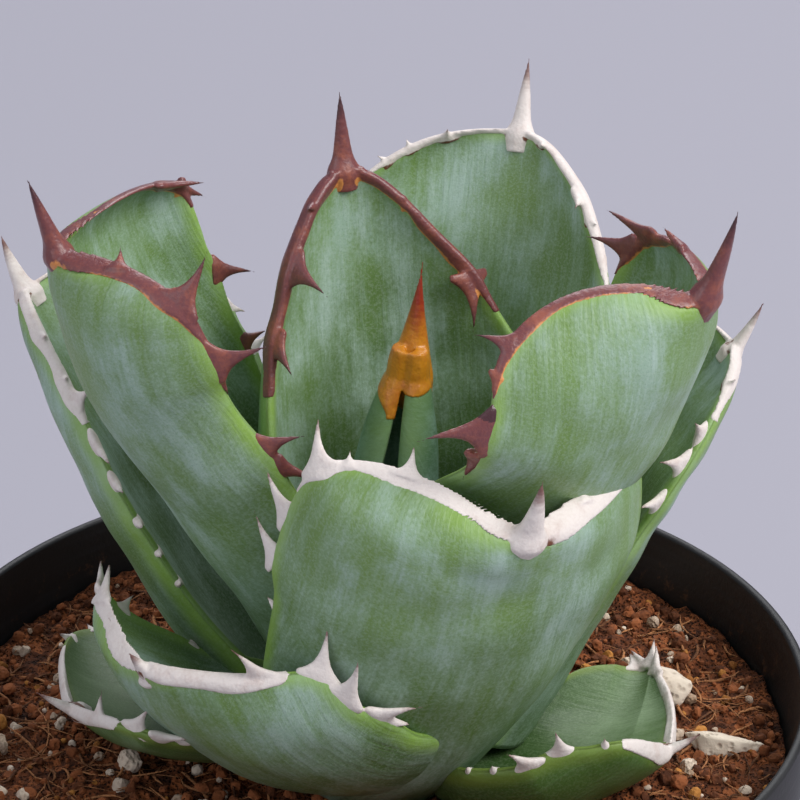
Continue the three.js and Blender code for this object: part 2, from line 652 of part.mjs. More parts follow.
// The soil: rings of points from the bottom up the wall and in over its surface.
function soilSolid() {
  const bottom = POT.floor + GAP;
  const shoulder = POT.height - POT.collarHeight;
  const positions = [];
  const index = [];
  const ring = (radius, heightAt) => {
    const first = positions.length / 3;
    for (let k = 0; k < SOIL.sides; k += 1) {
      const angle = (2 * Math.PI * k) / SOIL.sides;
      const x = radius * Math.cos(angle);
      const y = radius * Math.sin(angle);
      positions.push(x, y, heightAt(x, y));
    }
    return first;
  };
  const snug = Math.cos(Math.PI / POT.sides);
  const level = POT.height + SOIL.level;
  const starts = [
    ring((potInside(bottom) - GAP) * snug, () => bottom),
    ring((potInside(shoulder) - GAP) * snug, () => shoulder),
    ring((potInside(level - 1) - GAP) * snug, soilTop),
  ];
  for (let i = SOIL.rings - 1; i > 0; i -= 1) starts.push(ring((SOIL.bedRadius * i) / SOIL.rings, soilTop));
  const link = (p, q) => {
    for (let k = 0; k < SOIL.sides; k += 1) {
      const next = (k + 1) % SOIL.sides;
      index.push(p + k, p + next, q + next, p + k, q + next, q + k);
    }
  };
  for (let i = 0; i < starts.length - 1; i += 1) link(starts[i], starts[i + 1]);
  const fan = (start, x, y, z, up) => {
    const centre = positions.length / 3;
    positions.push(x, y, z);
    for (let k = 0; k < SOIL.sides; k += 1) {
      const next = (k + 1) % SOIL.sides;
      if (up) index.push(start + k, start + next, centre);
      else index.push(start + next, start + k, centre);
    }
  };
  fan(starts[0], 0, 0, bottom, false);
  fan(starts[starts.length - 1], 0, 0, soilTop(0, 0), true);
  return solidFrom(positions, index);
}

// The short stem: heights count from the plane of the rim, as the leaves' do.
function stemSolid(grow) {
  const { top, widestFrom, widestTo, taper, bottom, radius, rootRadius, sides } = STEM;
  const profile = [
    [0, bottom - grow],
    [rootRadius + grow, bottom - grow],
    [radius * 0.75 + grow, taper],
    [radius + grow, widestTo],
    [radius + grow, widestFrom],
    [radius * 0.7 + grow, top + grow],
    [0, top + grow],
  ];
  return lathe(profile, sides).translate([STEM.x, STEM.y, POT.height]);
}

// A rounded broken lump lying on the soil.
function lumpSolid(lump) {
  const geometry = new THREE.IcosahedronGeometry(1, 1);
  geometry.deleteAttribute("normal");
  geometry.deleteAttribute("uv");
  const merged = mergeVertices(geometry, 1e-4);
  const spots = merged.attributes.position;
  const turn = radians(lump.turn);
  const [cx, cy] = lump.at;
  const cz = soilTop(cx, cy) + lump.size[2] * 0.45;
  const positions = [];
  for (let i = 0; i < spots.count; i += 1) {
    const p = new THREE.Vector3().fromBufferAttribute(spots, i);
    const rough = 1 + 0.1 * Math.sin(5 * p.x + cx) * Math.cos(4 * p.y + cy) + 0.06 * Math.sin(7 * p.z);
    p.multiply(new THREE.Vector3(...lump.size)).multiplyScalar(rough);
    p.applyAxisAngle(new THREE.Vector3(0, 0, 1), turn);
    positions.push(cx + p.x, cy + p.y, cz + p.z);
  }
  return solidFrom(positions, [...merged.index.array]);
}

// A named mesh of a solid in one of the finishes.
function mesh(name, solid, finish) {
  const data = solid.getMesh();
  const geometry = new THREE.BufferGeometry();
  const spots = new Float32Array(data.numVert * 3);
  for (let i = 0; i < data.numVert; i += 1) {
    spots.set(data.vertProperties.subarray(i * data.numProp, i * data.numProp + 3), i * 3);
  }
  geometry.setAttribute("position", new THREE.BufferAttribute(spots, 3));
  geometry.setIndex(new THREE.BufferAttribute(data.triVerts, 1));
  const { color, roughness } = FINISH[finish];
  const material = new THREE.MeshStandardMaterial({ color, roughness, metalness: 0 });
  const made = new THREE.Mesh(geometry, material);
  made.name = name;
  return made;
}

const plant = new THREE.Group();
plant.name = "potted_agave";

const stem = stemSolid(0);
const stemCutter = stemSolid(GAP);
plant.add(mesh("stem", stem, "stem"));

// Each leaf is cleared of the stem and of the younger leaves inside it.
let taken = stemCutter;
LEAVES.forEach((data, i) => {
  const leaf = new Leaf(data);
  const number = String(i + 1).padStart(2, "0");
  const horn = hornSolid(leaf, 0).subtract(taken);
  const blade = wasm.Manifold.union([bladeSolid(leaf), ...teethOf(leaf, false, 0)])
    .subtract(hornSolid(leaf, CLEAR))
    .subtract(taken);
  plant.add(mesh(`leaf_${number}`, mainBody(blade), data.finish));
  plant.add(mesh(`horn_${number}`, mainBody(horn), data.horny));
  taken = wasm.Manifold.union([
    taken,
    bladeCutter(leaf),
    ...teethOf(leaf, true, GAP),
    ...teethOf(leaf, false, GAP),
  ]).simplify(SLIVER / 2);
});

plant.add(mesh("pot", potSolid(), "pot"));

const soil = wasm.Manifold.union([soilSolid(), ...LUMPS.map(lumpSolid)]).subtract(taken);
plant.add(mesh("soil", mainBody(soil), "soil"));

export default plant;
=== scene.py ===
"""A young short-leaved agave in a thin plastic pot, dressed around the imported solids.

Lengths are millimetres while a form is worked out and metres once it is a Blender mesh.
"""

import logging
import math
from dataclasses import dataclass, field
from enum import Enum

import bmesh
import bpy
import numpy as np
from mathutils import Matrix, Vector
from mathutils.bvhtree import BVHTree
from mathutils.kdtree import KDTree

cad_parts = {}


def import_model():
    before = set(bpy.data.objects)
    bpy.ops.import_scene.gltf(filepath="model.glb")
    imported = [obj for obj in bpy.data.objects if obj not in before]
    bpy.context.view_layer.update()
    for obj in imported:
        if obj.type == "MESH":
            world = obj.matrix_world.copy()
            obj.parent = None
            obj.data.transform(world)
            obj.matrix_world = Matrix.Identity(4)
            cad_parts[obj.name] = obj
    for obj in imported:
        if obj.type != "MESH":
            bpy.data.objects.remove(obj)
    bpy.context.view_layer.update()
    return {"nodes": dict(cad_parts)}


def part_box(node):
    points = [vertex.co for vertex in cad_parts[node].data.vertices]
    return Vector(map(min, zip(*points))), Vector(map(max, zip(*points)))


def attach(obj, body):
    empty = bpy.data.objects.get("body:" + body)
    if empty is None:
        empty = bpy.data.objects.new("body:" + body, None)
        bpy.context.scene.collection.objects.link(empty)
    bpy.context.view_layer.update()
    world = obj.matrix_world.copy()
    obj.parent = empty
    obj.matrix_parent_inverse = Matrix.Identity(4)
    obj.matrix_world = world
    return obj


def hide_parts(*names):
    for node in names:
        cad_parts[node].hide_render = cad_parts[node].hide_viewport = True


LOG = logging.getLogger("potted_agave")
MM = 0.001
PER_METRE = (1000.0, 1000.0, 1000.0)
PLANT_AXIS = (4.0, -2.0)
Socket = bpy.types.NodeSocket
Tree = bpy.types.NodeTree
Array = np.ndarray
Shape = tuple[Array, list[tuple[int, ...]]]


def srgb(red: int, green: int, blue: int) -> tuple[float, float, float, float]:
    """Turn a screen colour into the linear colour a shader takes.

    Args:
        red: red from 0 to 255.
        green: green from 0 to 255.
        blue: blue from 0 to 255.

    Returns:
        Linear red, green, blue and an alpha of one.
    """
    knee, slope, offset, power, scale = 0.04045, 12.92, 0.055, 2.4, 255.0
    parts = [c / scale for c in (red, green, blue)]
    linear = [c / slope if c <= knee else ((c + offset) / (1 + offset)) ** power for c in parts]
    return (linear[0], linear[1], linear[2], 1.0)


def spline(values: tuple[float, ...], t: Array) -> Array:
    """Run smoothly through evenly spaced values.

    Args:
        values: the values from base to tip.
        t: places from 0 to 1.

    Returns:
        The value at each place.
    """
    v = np.asarray(values, float)
    padded = np.concatenate([[2 * v[0] - v[1]], v, [2 * v[-1] - v[-2]]])
    last = len(v) - 1
    x = np.clip(t, 0.0, 1.0) * last
    i = np.minimum(x.astype(int), last - 1)
    f = x - i
    p0, p1, p2, p3 = padded[i], padded[i + 1], padded[i + 2], padded[i + 3]
    bend = 2 * p0 - 5 * p1 + 4 * p2 - p3
    turn = 3 * p1 - p0 - 3 * p2 + p3
    return 0.5 * (2 * p1 + (p2 - p0) * f + bend * f**2 + turn * f**3)


def unit(v: Array) -> Array:
    """Scale vectors on the last axis to length one."""
    return v / np.maximum(np.linalg.norm(v, axis=-1, keepdims=True), 1e-9)


def dot(a: Array, b: Array) -> Array:
    """Dot product on the last axis, kept as a column."""
    return np.sum(a * b, axis=-1, keepdims=True)


def smoothstep(low: float, high: float, x: Array) -> Array:
    """Ease from 0 at low to 1 at high."""
    s = np.clip((x - low) / (high - low), 0.0, 1.0)
    return s * s * (3 - 2 * s)


def ripple(x: Array, y: Array, seed: int, wave: float) -> Array:
    """A soft irregular swell of about plus or minus one.

    Args:
        x: first coordinate.
        y: second coordinate.
        seed: picks the pattern.
        wave: typical wavelength.

    Returns:
        The height of the swell at each point.
    """
    waves, shortest, longest, height = 7, 0.6, 1.7, 3.2
    draw = np.random.default_rng(seed)
    total = np.zeros(np.broadcast(x, y).shape)
    for _ in range(waves):
        angle, phase = draw.uniform(0, 2 * math.pi, 2)
        step = 2 * math.pi / (wave * draw.uniform(shortest, longest))
        total = total + np.sin((x * math.cos(angle) + y * math.sin(angle)) * step + phase)
    return total / height


class Age(Enum):
    """How old a leaf's horn is, which sets its colour."""

    BUD = "horn_amber"
    FRESH = "horn_brown"
    WEATHERED = "horn_pale"


class Cover(Enum):
    """How a blade looks, from the powdery young ones to the worn oldest."""

    YOUNG = "leaf_young"
    GLAUCOUS = "leaf_glaucous"
    OLD = "leaf_old"


@dataclass(frozen=True)
class Tooth:
    """One marginal tooth."""

    side: int
    place: float
    length: float
    lean: float
    lift: float


def teeth(side: int, *rows: tuple[float, float, float, float]) -> tuple[Tooth, ...]:
    """List the teeth of one margin.

    Args:
        side: +1 for side a, counter-clockwise seen from above, and -1 for side b.
        rows: place along the leaf, length, lean towards the tip and lift off the blade.

    Returns:
        The teeth in that order.
    """
    return tuple(Tooth(side, *row) for row in rows)


@dataclass(frozen=True)
class Habit:
    """Proportions that every leaf shares, in millimetres or as shares."""

    small_tooth: float = 2.2
    swell_reach: float = 0.42
    swell_height: float = 0.16
    heel: float = 1.25
    thinning: float = 0.75
    leanest: float = 0.9
    edge_softness: float = 0.62
    face_wave: float = 0.16
    face_wavelength: float = 11.0
    band_share: float = 0.8
    band_start: float = 0.35
    band_run: float = 0.09
    band_waver: float = 0.22
    band_wavelength: float = 5.0
    tooth_flare: float = 0.11
    edge_samples: int = 260
    across_samples: int = 56
    widest_band: float = 1.08
    closing_start: float = 1.6
    overlap: float = 0.55
    mid_blade: float = 0.5


HABIT = Habit()


@dataclass
class LeafForm:
    """The surface of one leaf, the same as its solid's, and finer where it is sampled finer."""

    number: int
    turn: float
    cover: Cover
    age: Age
    path: tuple[tuple[float, float], ...]
    wide: tuple[tuple[float, ...], tuple[float, ...]]
    curl: tuple[tuple[float, ...], tuple[float, ...]]
    apex: tuple[tuple[float, float], tuple[float, float]]
    horn: tuple[float, float]
    spine: tuple[float, float, float]
    teeth: tuple[Tooth, ...] = ()
    sway: tuple[float, ...] = (0.0, 0.0)
    twist: tuple[float, ...] = (0.0, 0.0)
    thick: float = 5.0
    hard: float = 1.5
    cap: float = 0.4
    beak: float = 0.0
    rim: float = 93.0
    margin: float = 1.0
    roundness: float = 2.4
    tip_taper: float = 7.0
    radial: Array = field(init=False)
    sideways: Array = field(init=False)
    length: float = field(init=False)

    def __post_init__(self) -> None:
        """Work out the leaf's directions and length."""
        a = math.radians(self.turn)
        self.radial = np.array([math.cos(a), math.sin(a), 0.0])
        self.sideways = np.array([-math.sin(a), math.cos(a), 0.0])
        line = self.middle(np.linspace(0, 1, 21))
        self.length = float(np.linalg.norm(np.diff(line, axis=0), axis=1).sum())

    def middle(self, t: Array) -> Array:
        """Points of the inner midline.

        Args:
            t: places from base to tip.

        Returns:
            One point for each place.
        """
        reach = spline(tuple(p[0] for p in self.path), t)[..., None]
        drift = spline(self.sway, t)[..., None]
        height = spline(tuple(p[1] for p in self.path), t)
        flat = reach * self.radial + drift * self.sideways
        place = np.zeros(flat.shape)
        place[..., 0], place[..., 1] = PLANT_AXIS
        place[..., 2] = self.rim + height
        return place + flat

    def frame(self, t: Array) -> tuple[Array, Array, Array]:
        """Directions of the leaf at t.

        Args:
            t: places from base to tip.

        Returns:
            Forward to the tip, across to side a, and inwards off the inner face.
        """
        step = 1e-3
        forward = unit(self.middle(np.minimum(t + step, 1)) - self.middle(np.maximum(t - step, 0)))
        side = np.broadcast_to(self.sideways, forward.shape)
        across = unit(side - dot(side, forward) * forward)
        inward = np.cross(forward, across)
        roll = np.radians(spline(self.twist, t))[..., None]
        turned = across * np.cos(roll) + inward * np.sin(roll)
        return forward, turned, inward * np.cos(roll) - across * np.sin(roll)

    def pick(self, pair: tuple, u: Array, t: Array) -> Array:
        """Values of a per-side list on the side that u is on."""
        return np.where(u > 0, spline(pair[0], t), spline(pair[1], t))

    def bulge(self, t: Array, sign: int) -> Array:
        """How far the margin swells out under its teeth.

        Args:
            t: places from base to tip.
            sign: the side.

        Returns:
            The swelling at each place.
        """
        total = np.zeros(t.shape)
        for tooth in self.teeth:
            if tooth.side == sign and tooth.length > HABIT.small_tooth:
                away = (t - tooth.place) * self.length / (1.0 + HABIT.swell_reach * tooth.length)
                total = total + HABIT.swell_height * tooth.length * np.exp(-(away**2))
        return total

    def half_width(self, t: Array, u: Array) -> Array:
        """Distance from the midline to the margin, along the blade.

        Args:
            t: places from base to tip.
            u: positive on side a and negative on side b.

        Returns:
            The half width at each place.
        """
        t, u = np.broadcast_arrays(t, u)
        start = np.where(u > 0, self.apex[0][0], self.apex[1][0])
        blunt = np.where(u > 0, self.apex[0][1], self.apex[1][1])
        x = np.clip((t - start) / (1 - start), 0, 1)
        round_off = np.sqrt(np.maximum(0.0, 1 - x**blunt))
        swell = np.where(u > 0, self.bulge(t, 1), self.bulge(t, -1))
        return np.maximum((self.pick(self.wide, u, t) + swell) * round_off, self.spine[1])

    def thickness(self, t: Array, u: Array) -> Array:
        """Thickness of the blade at a point.

        Args:
            t: places from base to tip.
            u: places across.

        Returns:
            Thickness at each point.
        """
        narrow = np.minimum(self.half_width(t, 1.0), self.half_width(t, -1.0)) * HABIT.leanest
        full = self.thick * (HABIT.heel - HABIT.thinning * t * t)
        core = np.maximum(self.margin, np.minimum(full, narrow))
        near = np.clip((1 - t) * self.length / self.tip_taper, 0.0, 1.0)
        core = self.margin + (core - self.margin) * np.sqrt(1 - (1 - near) ** 2)
        return self.margin + (core - self.margin) * np.maximum(0, 1 - np.abs(u) ** self.roundness)

    def surface(self, t: Array, u: Array, lift: Array) -> Array:
        """Points of the leaf.

        Args:
            t: places from base to tip.
            u: places across, from -1 on side b to 1 on side a.
            lift: distance off the inner face, towards the outer one.

        Returns:
            One point for each entry.
        """
        t, u, lift = np.broadcast_arrays(t, u, lift)
        _, across, inward = self.frame(t)
        wrap = np.radians(self.pick(self.curl, u, t))
        radius = self.half_width(t, u) / wrap
        angle = wrap * u
        sideways = ((radius + lift) * np.sin(angle))[..., None]
        raised = (radius * (1 - np.cos(angle)) - lift * np.cos(angle))[..., None]
        return self.middle(t) + across * sideways + inward * raised

    def skin(self, t: Array, u: Array) -> tuple[Array, Array]:
        """Lifts of the inner and the outer face, which meet in a round margin.

        Args:
            t: places from base to tip.
            u: places across.

        Returns:
            The two lifts.
        """
        soft = HABIT.edge_softness
        width = self.half_width(t, u)
        over = np.clip((np.abs(u) * width - (width - soft)) / soft, 0, 1)
        half = self.thickness(t, u) / 2
        seed = 40 + self.number
        wave = HABIT.face_wave * ripple(u * width, t * self.length, seed, HABIT.face_wavelength)
        wave = wave * smoothstep(0.02, 0.3, 1 - np.abs(u))
        round_edge = np.sqrt(1 - over**2)
        return half - half * round_edge + wave, half + half * round_edge + wave

    def band(self, t: Array, sign: int) -> Array:
        """How far the horn reaches in from the margin, measured across the blade.

        Args:
            t: places from base to tip.
            sign: the side.

        Returns:
            The reach at each place.
        """
        start = self.horn[0] if sign > 0 else self.horn[1]
        seed = self.number * 7 + sign
        taper = HABIT.band_start + (1 - HABIT.band_start) * smoothstep(0.0, HABIT.band_run, t - start)
        waver = ripple(t * self.length, np.zeros(t.shape), seed, HABIT.band_wavelength)
        uneven = 1 + HABIT.band_waver * waver
        flare = np.zeros(t.shape)
        for tooth in self.teeth:
            if tooth.side == sign:
                away = (t - tooth.place) * self.length / (0.6 + 0.2 * tooth.length)
                flare = flare + HABIT.tooth_flare * tooth.length * np.exp(-(away**2))
        wanted = self.hard * HABIT.band_share * taper * uneven + flare
        lift = np.float64(HABIT.mid_blade)
        edge_t = 1 - (1 - start + 0.08) * np.linspace(0, 1, HABIT.edge_samples) ** 2
        edge = self.surface(edge_t, np.float64(sign), lift)
        u = np.linspace(1, 0, HABIT.across_samples)
        tt, uu = np.meshgrid(t, u, indexing="ij")
        spots = self.surface(tt, sign * uu, lift).reshape(-1, 1, 3)
        away = np.linalg.norm(spots - edge[None], axis=2).min(axis=1).reshape(tt.shape)
        beyond = away >= wanted[:, None]
        first = np.where(beyond.any(axis=1), beyond.argmax(axis=1), len(u) - 1)
        last = np.maximum(first - 1, 0)
        rows = np.arange(len(t))
        gain = np.maximum(away[rows, first] - away[rows, last], 1e-6)
        part = np.clip((wanted - away[rows, last]) / gain, 0, 1)
        inner = u[last] + part * (u[first] - u[last])
        width = self.half_width(t, float(sign))
        cap = self.cap / self.length
        closing = smoothstep(1 - HABIT.closing_start * cap, 1 - cap, t)
        return np.minimum((1 - inner + closing) * width, width * HABIT.widest_band)

    def tuck(self, t: Array, sign: int) -> Array:
        """How far the blade's own edge stays in under the horn.

        Args:
            t: places from base to tip.
            sign: the side.

        Returns:
            The distance at each place.
        """
        start = self.horn[0] if sign > 0 else self.horn[1]
        width = self.half_width(t, float(sign))
        under = np.clip(self.band(t, sign) - HABIT.overlap, 0.0, width * 0.85)
        return under * smoothstep(start + 0.01, start + 0.04, t)


A, B = 1, -1

LEAVES: tuple[LeafForm, ...] = (
    LeafForm(
        number=1, turn=75, thick=3.2, hard=2.4, cap=4.0, beak=5.5, cover=Cover.YOUNG, age=Age.BUD,
        path=((0, 2), (0, 13), (0, 24), (0.5, 34.5), (0.8, 43.5)), sway=(0, 0, 0, -0.7, -1.5),
        wide=((6, 7, 7.5, 5.6, 2.6), (6, 7, 7.5, 5.6, 2.6)),
        curl=((110, 125, 150, 165, 165), (110, 125, 150, 165, 165)),
        apex=((0.55, 1.4), (0.55, 1.4)), horn=(0.78, 0.86), spine=(10, 2.0, 0),
    ),
    LeafForm(
        number=2, turn=115, hard=1.9, cover=Cover.GLAUCOUS, age=Age.FRESH,
        path=((5, 0), (8, 15), (10, 30), (12, 45), (13.5, 60)),
        wide=((10, 14, 17, 14, 12), (10, 14, 21, 17, 12)),
        curl=((50, 60, 60, 50, 50), (50, 60, 60, 50, 50)),
        apex=((0.6, 1.5), (0.6, 1.5)), horn=(0.62, 0.7), spine=(9, 1.7, 0),
        teeth=teeth(A, (0.95, 2.5, -20, 0), (0.85, 6.5, -30, 55), (0.72, 5, -60, 40))
        + teeth(B, (0.93, 2, -60, 0), (0.79, 6.5, -112, 28)),
    ),
    LeafForm(
        number=3, turn=-32, cover=Cover.GLAUCOUS, age=Age.FRESH,
        path=((5, 0), (12, 13), (21, 28), (30.5, 43.5), (37.6, 59.5)),
        wide=((11, 15, 18, 20, 20), (11, 16, 20.5, 21.5, 23)),
        curl=((50, 60, 75, 90, 90), (50, 60, 72, 42, 100)),
        apex=((0.78, 2.5), (0.8, 2.5)), horn=(0.8, 0.83), spine=(11, 1.9, 10),
        teeth=teeth(B, (0.89, 4, -15, 0), (0.85, 3, -80, 0), (0.77, 7.5, -15, 0), (0.72, 5, -80, 0))
        + teeth(A, (0.98, 3.5, -50, -10), (0.92, 6.5, -40, 0), (0.86, 6, -30, 0)),
    ),
    LeafForm(
        number=4, turn=195, cover=Cover.GLAUCOUS, age=Age.FRESH,
        path=((5, 0), (12, 14), (21.5, 29), (32, 45), (37, 60)),
        wide=((10, 13.5, 16, 18, 19), (11, 15, 19.5, 24, 24.5)),
        curl=((50, 60, 65, 70, 70), (50, 60, 75, 90, 90)),
        apex=((0.8, 3), (0.82, 3)), horn=(0.84, 0.86), spine=(9, 1.9, 0),
        teeth=teeth(
            A, (0.985, 3, 30, 0), (0.93, 6.5, 12, 0), (0.8, 6.5, 0, 0), (0.76, 3, -70, 0),
            (0.6, 5, -10, 0), (0.56, 5, -40, 0), (0.48, 4, 20, 0),
        )
        + teeth(B, (0.95, 5.5, -55, 15), (0.92, 4.5, -75, 0), (0.67, 5, -25, 0), (0.55, 3.5, -5, 0)),
    ),
    LeafForm(
        number=5, turn=62, hard=1.1, cover=Cover.GLAUCOUS, age=Age.WEATHERED,
        path=((8, 0), (14, 15), (19, 30), (24, 45), (30, 59)), sway=(0, 0, -0.8, -1.2, 0),
        wide=((11, 15, 18, 20, 19), (11, 15, 17, 17, 14)),
        curl=((50, 50, 50, 40, 40), (50, 50, 50, 40, 40)),
        apex=((0.78, 2.1), (0.7, 1.4)), horn=(0.86, 0.74), spine=(8.5, 1.6, 0),
        teeth=teeth(
            A, (0.98, 2.5, 10, 20), (0.95, 1.8, 0, 0), (0.92, 1.8, -20, 0), (0.76, 4, 10, 0),
            (0.62, 3.5, 0, 0),
        )
        + teeth(B, (0.985, 2, -35, 30), (0.89, 3, -55, 40), (0.85, 1.8, -40, 0), (0.7, 4, 0, 10)),
    ),
    LeafForm(
        number=6, turn=-66, cover=Cover.GLAUCOUS, age=Age.WEATHERED,
        path=((9, -4), (17, 5), (24, 18), (29, 30), (33.5, 37)), sway=(-5, -4, -1.5, -0.5, 0),
        wide=((8, 14, 21, 24.5, 24), (14, 20, 23.5, 24, 23)),
        curl=((40, 45, 48, 48, 46), (50, 55, 62, 75, 95)),
        apex=((0.6, 2), (0.75, 2.4)), horn=(0.8, 0.76), spine=(7.5, 2.1, 25),
        teeth=teeth(
            B, (0.83, 6, 20, 0), (0.955, 4, -10, 0), (0.7, 6, 30, 0), (0.59, 5.5, 45, 0),
            (0.44, 2, 25, 0), (0.885, 1.8, 0, 0),
        )
        + teeth(A, (0.975, 2, -20, 0), (0.93, 5.5, -10, 0), (0.66, 4.5, 40, 20), (0.6, 4, 20, 0)),
    ),
    LeafForm(
        number=7, turn=156, hard=0.9, cover=Cover.GLAUCOUS, age=Age.WEATHERED,
        path=((11, -3), (22, 8), (31, 20.5), (39, 32), (47, 42.5)),
        wide=((12, 14, 15, 14, 11), (12, 17, 21, 22.5, 22)),
        curl=((50, 45, 45, 50, 50), (50, 50, 45, 40, 35)),
        apex=((0.5, 1.6), (0.85, 2.5)), horn=(0.7, 0.84), spine=(7, 1.8, 20),
        teeth=teeth(
            A, (0.9, 2.5, -30, 0), (0.8, 2, -20, 0), (0.75, 4.5, -10, 20), (0.66, 5, -45, 0),
            (0.57, 3.5, -25, 0), (0.48, 2.5, -15, 0), (0.41, 2, -10, 0), (0.34, 2, 0, 0),
        )
        + teeth(B, (0.7, 2.5, -40, 0), (0.6, 3, 10, 0), (0.45, 2.5, 0, 0)),
    ),
    LeafForm(
        number=8, turn=8, hard=0.8, cover=Cover.GLAUCOUS, age=Age.WEATHERED,
        path=((10, -3), (16, 8), (22.5, 19), (30, 31), (38.5, 41.5)),
        wide=((12, 16, 18, 18, 18), (12, 13, 13, 13, 12)),
        curl=((50, 50, 45, 40, 40), (30, 20, 10, 6, 6)),
        apex=((0.75, 2.2), (0.6, 2)), horn=(0.82, 0.88), spine=(6, 1.4, 15),
        teeth=teeth(
            B, (0.95, 1.8, 10, 0), (0.85, 4, -5, 40), (0.78, 4.5, -25, 50), (0.69, 4, -20, 40),
            (0.57, 2.5, -5, 20), (0.45, 2, 0, 20), (0.28, 2, 5, 20),
        )
        + teeth(A, (0.7, 4, 0, 10), (0.56, 3, 0, 0), (0.42, 2.5, 0, 0)),
    ),
    LeafForm(
        number=9, turn=-125, cover=Cover.GLAUCOUS, age=Age.WEATHERED,
        path=((12.5, 0), (19.5, 2.3), (25, 6), (30, 10.5), (34.8, 16.4)),
        sway=(0, -2, -4.5, -7, -9.3),
        wide=((20, 21, 20, 17, 11), (12, 15, 17, 18, 17)),
        curl=((38, 38, 34, 42, 10), (45, 48, 50, 52, 58)),
        apex=((0.7, 2), (0.9, 3)), horn=(0.8, 0.95), spine=(2.6, 1.7, 10),
        teeth=teeth(B, (0.97, 5, -40, 0), (0.93, 5, -30, 0), (0.8, 3, -20, 20), (0.45, 2, 0, 0))
        + teeth(
            A, (0.86, 5, 25, 10), (0.71, 6, 5, 10), (0.57, 6, 25, 0), (0.4, 5, -30, 0),
            (0.33, 2.5, -50, 0),
        ),
    ),
    LeafForm(
        number=10, turn=98, cover=Cover.GLAUCOUS, age=Age.WEATHERED,
        path=((11, -4), (18, 3), (25, 10), (32, 18), (38, 26)),
        wide=((12, 16, 18, 18, 17), (12, 16, 18, 18, 17)),
        curl=((50, 50, 45, 40, 40), (50, 50, 45, 40, 40)),
        apex=((0.75, 2.2), (0.75, 2.2)), horn=(0.78, 0.76), spine=(6, 1.6, 20),
        teeth=teeth(A, (0.9, 3, 0, 0), (0.72, 4, 10, 10), (0.58, 4, -15, 0), (0.44, 2.5, 0, 0))
        + teeth(B, (0.93, 2, 0, 0), (0.8, 4.5, 0, 0), (0.64, 4, -20, 10), (0.5, 3, 0, 0)),
    ),
    LeafForm(
        number=11, turn=-40, thick=4, cover=Cover.OLD, age=Age.WEATHERED,
        path=((11, -5), (17, -5), (23, -4), (28, -2), (32.7, 0)),
        sway=(0, 1.5, 4, 6.5, 9.4), twist=(-2, -2),
        wide=((12, 19, 23, 22, 20), (12, 15, 15, 13, 12)),
        curl=((20, 20, 20, 20, 20), (50, 50, 50, 50, 50)),
        apex=((0.7, 3), (0.8, 2.5)), horn=(0.8, 0.88), spine=(4, 1.3, 20),
        teeth=teeth(
            B, (0.82, 2, 0, 0), (0.66, 4.5, -5, 0), (0.48, 4.5, -15, 0), (0.32, 2, 10, 0),
            (0.22, 1.8, 20, 0),
        )
        + teeth(A, (0.84, 4.5, -50, 20), (0.76, 4.5, -40, 20), (0.7, 4.5, -35, 20), (0.6, 4, -15, 0)),
    ),
    LeafForm(
        number=12, turn=195, thick=2.6, cover=Cover.OLD, age=Age.WEATHERED,
        path=((11, -4), (20, -2.5), (27, -1.5), (33, 0.2), (38.6, 3.2)), twist=(10, 10),
        wide=((12, 15, 15, 14, 13), (12, 18, 22, 24, 24)),
        curl=((30, 30, 30, 30, 30), (20, 20, 20, 20, 20)),
        apex=((0.75, 2), (0.6, 2)), horn=(0.92, 0.9), spine=(4.5, 1.3, 10),
        teeth=teeth(B, (0.84, 2.5, 40, 0), (0.7, 2, 0, 0), (0.5, 3, 0, 10))
        + teeth(A, (0.97, 3.5, -10, 20), (0.88, 4.5, -35, 20), (0.76, 4, -50, 0), (0.6, 2.5, -40, 0)),
    ),
    LeafForm(
        number=13, turn=70, thick=4, cover=Cover.OLD, age=Age.WEATHERED,
        path=((11, -5), (18, -5), (23, -4), (26, -3), (30, -1)),
        wide=((12, 14, 15, 14, 14), (11, 12, 12, 11, 11)),
        curl=((30, 30, 30, 30, 30), (30, 30, 30, 30, 30)),
        apex=((0.75, 2.4), (0.75, 2.4)), horn=(0.86, 0.86), spine=(4, 1.3, 20),
        teeth=teeth(A, (0.8, 3, 0, 10), (0.64, 3.5, -20, 0), (0.48, 2.5, 0, 0))
        + teeth(B, (0.8, 3.5, -10, 0), (0.62, 3, 0, 10), (0.46, 2.5, 0, 0)),
    ),
)


@dataclass
class Stock:
    """Points and faces gathered for one mesh, in millimetres."""

    points: list[Array] = field(default_factory=list)
    faces: list[tuple[int, ...]] = field(default_factory=list)
    count: int = 0

    def add(self, points: Array, faces: list[tuple[int, ...]]) -> None:
        """Add a closed form.

        Args:
            points: its points, one a row.
            faces: its faces, counted from its own first point.
        """
        first = self.count
        self.points.append(points)
        self.faces.extend(tuple(i + first for i in face) for face in faces)
        self.count += len(points)

    def tube(self, rings: Array) -> None:
        """Add a closed tube.

        Args:
            rings: points as ring, place in the ring and coordinate.
        """
        n, m = rings.shape[:2]
        faces: list[tuple[int, ...]] = []
        for i in range(n - 1):
            for j in range(m):
                k = (j + 1) % m
                faces.append((i * m + j, i * m + k, (i + 1) * m + k, (i + 1) * m + j))
        faces.append(tuple(range(m - 1, -1, -1)))
        faces.append(tuple((n - 1) * m + j for j in range(m)))
        self.add(rings.reshape(-1, 3), faces)

    def mesh(self, name: str) -> bpy.types.Mesh:
        """Make the Blender mesh, in metres.

        Args:
            name: the mesh's name.

        Returns:
            The mesh.
        """
        made = bpy.data.meshes.new(name)
        made.from_pydata((np.concatenate(self.points) * MM).tolist(), [], self.faces)
        made.validate()
        return made


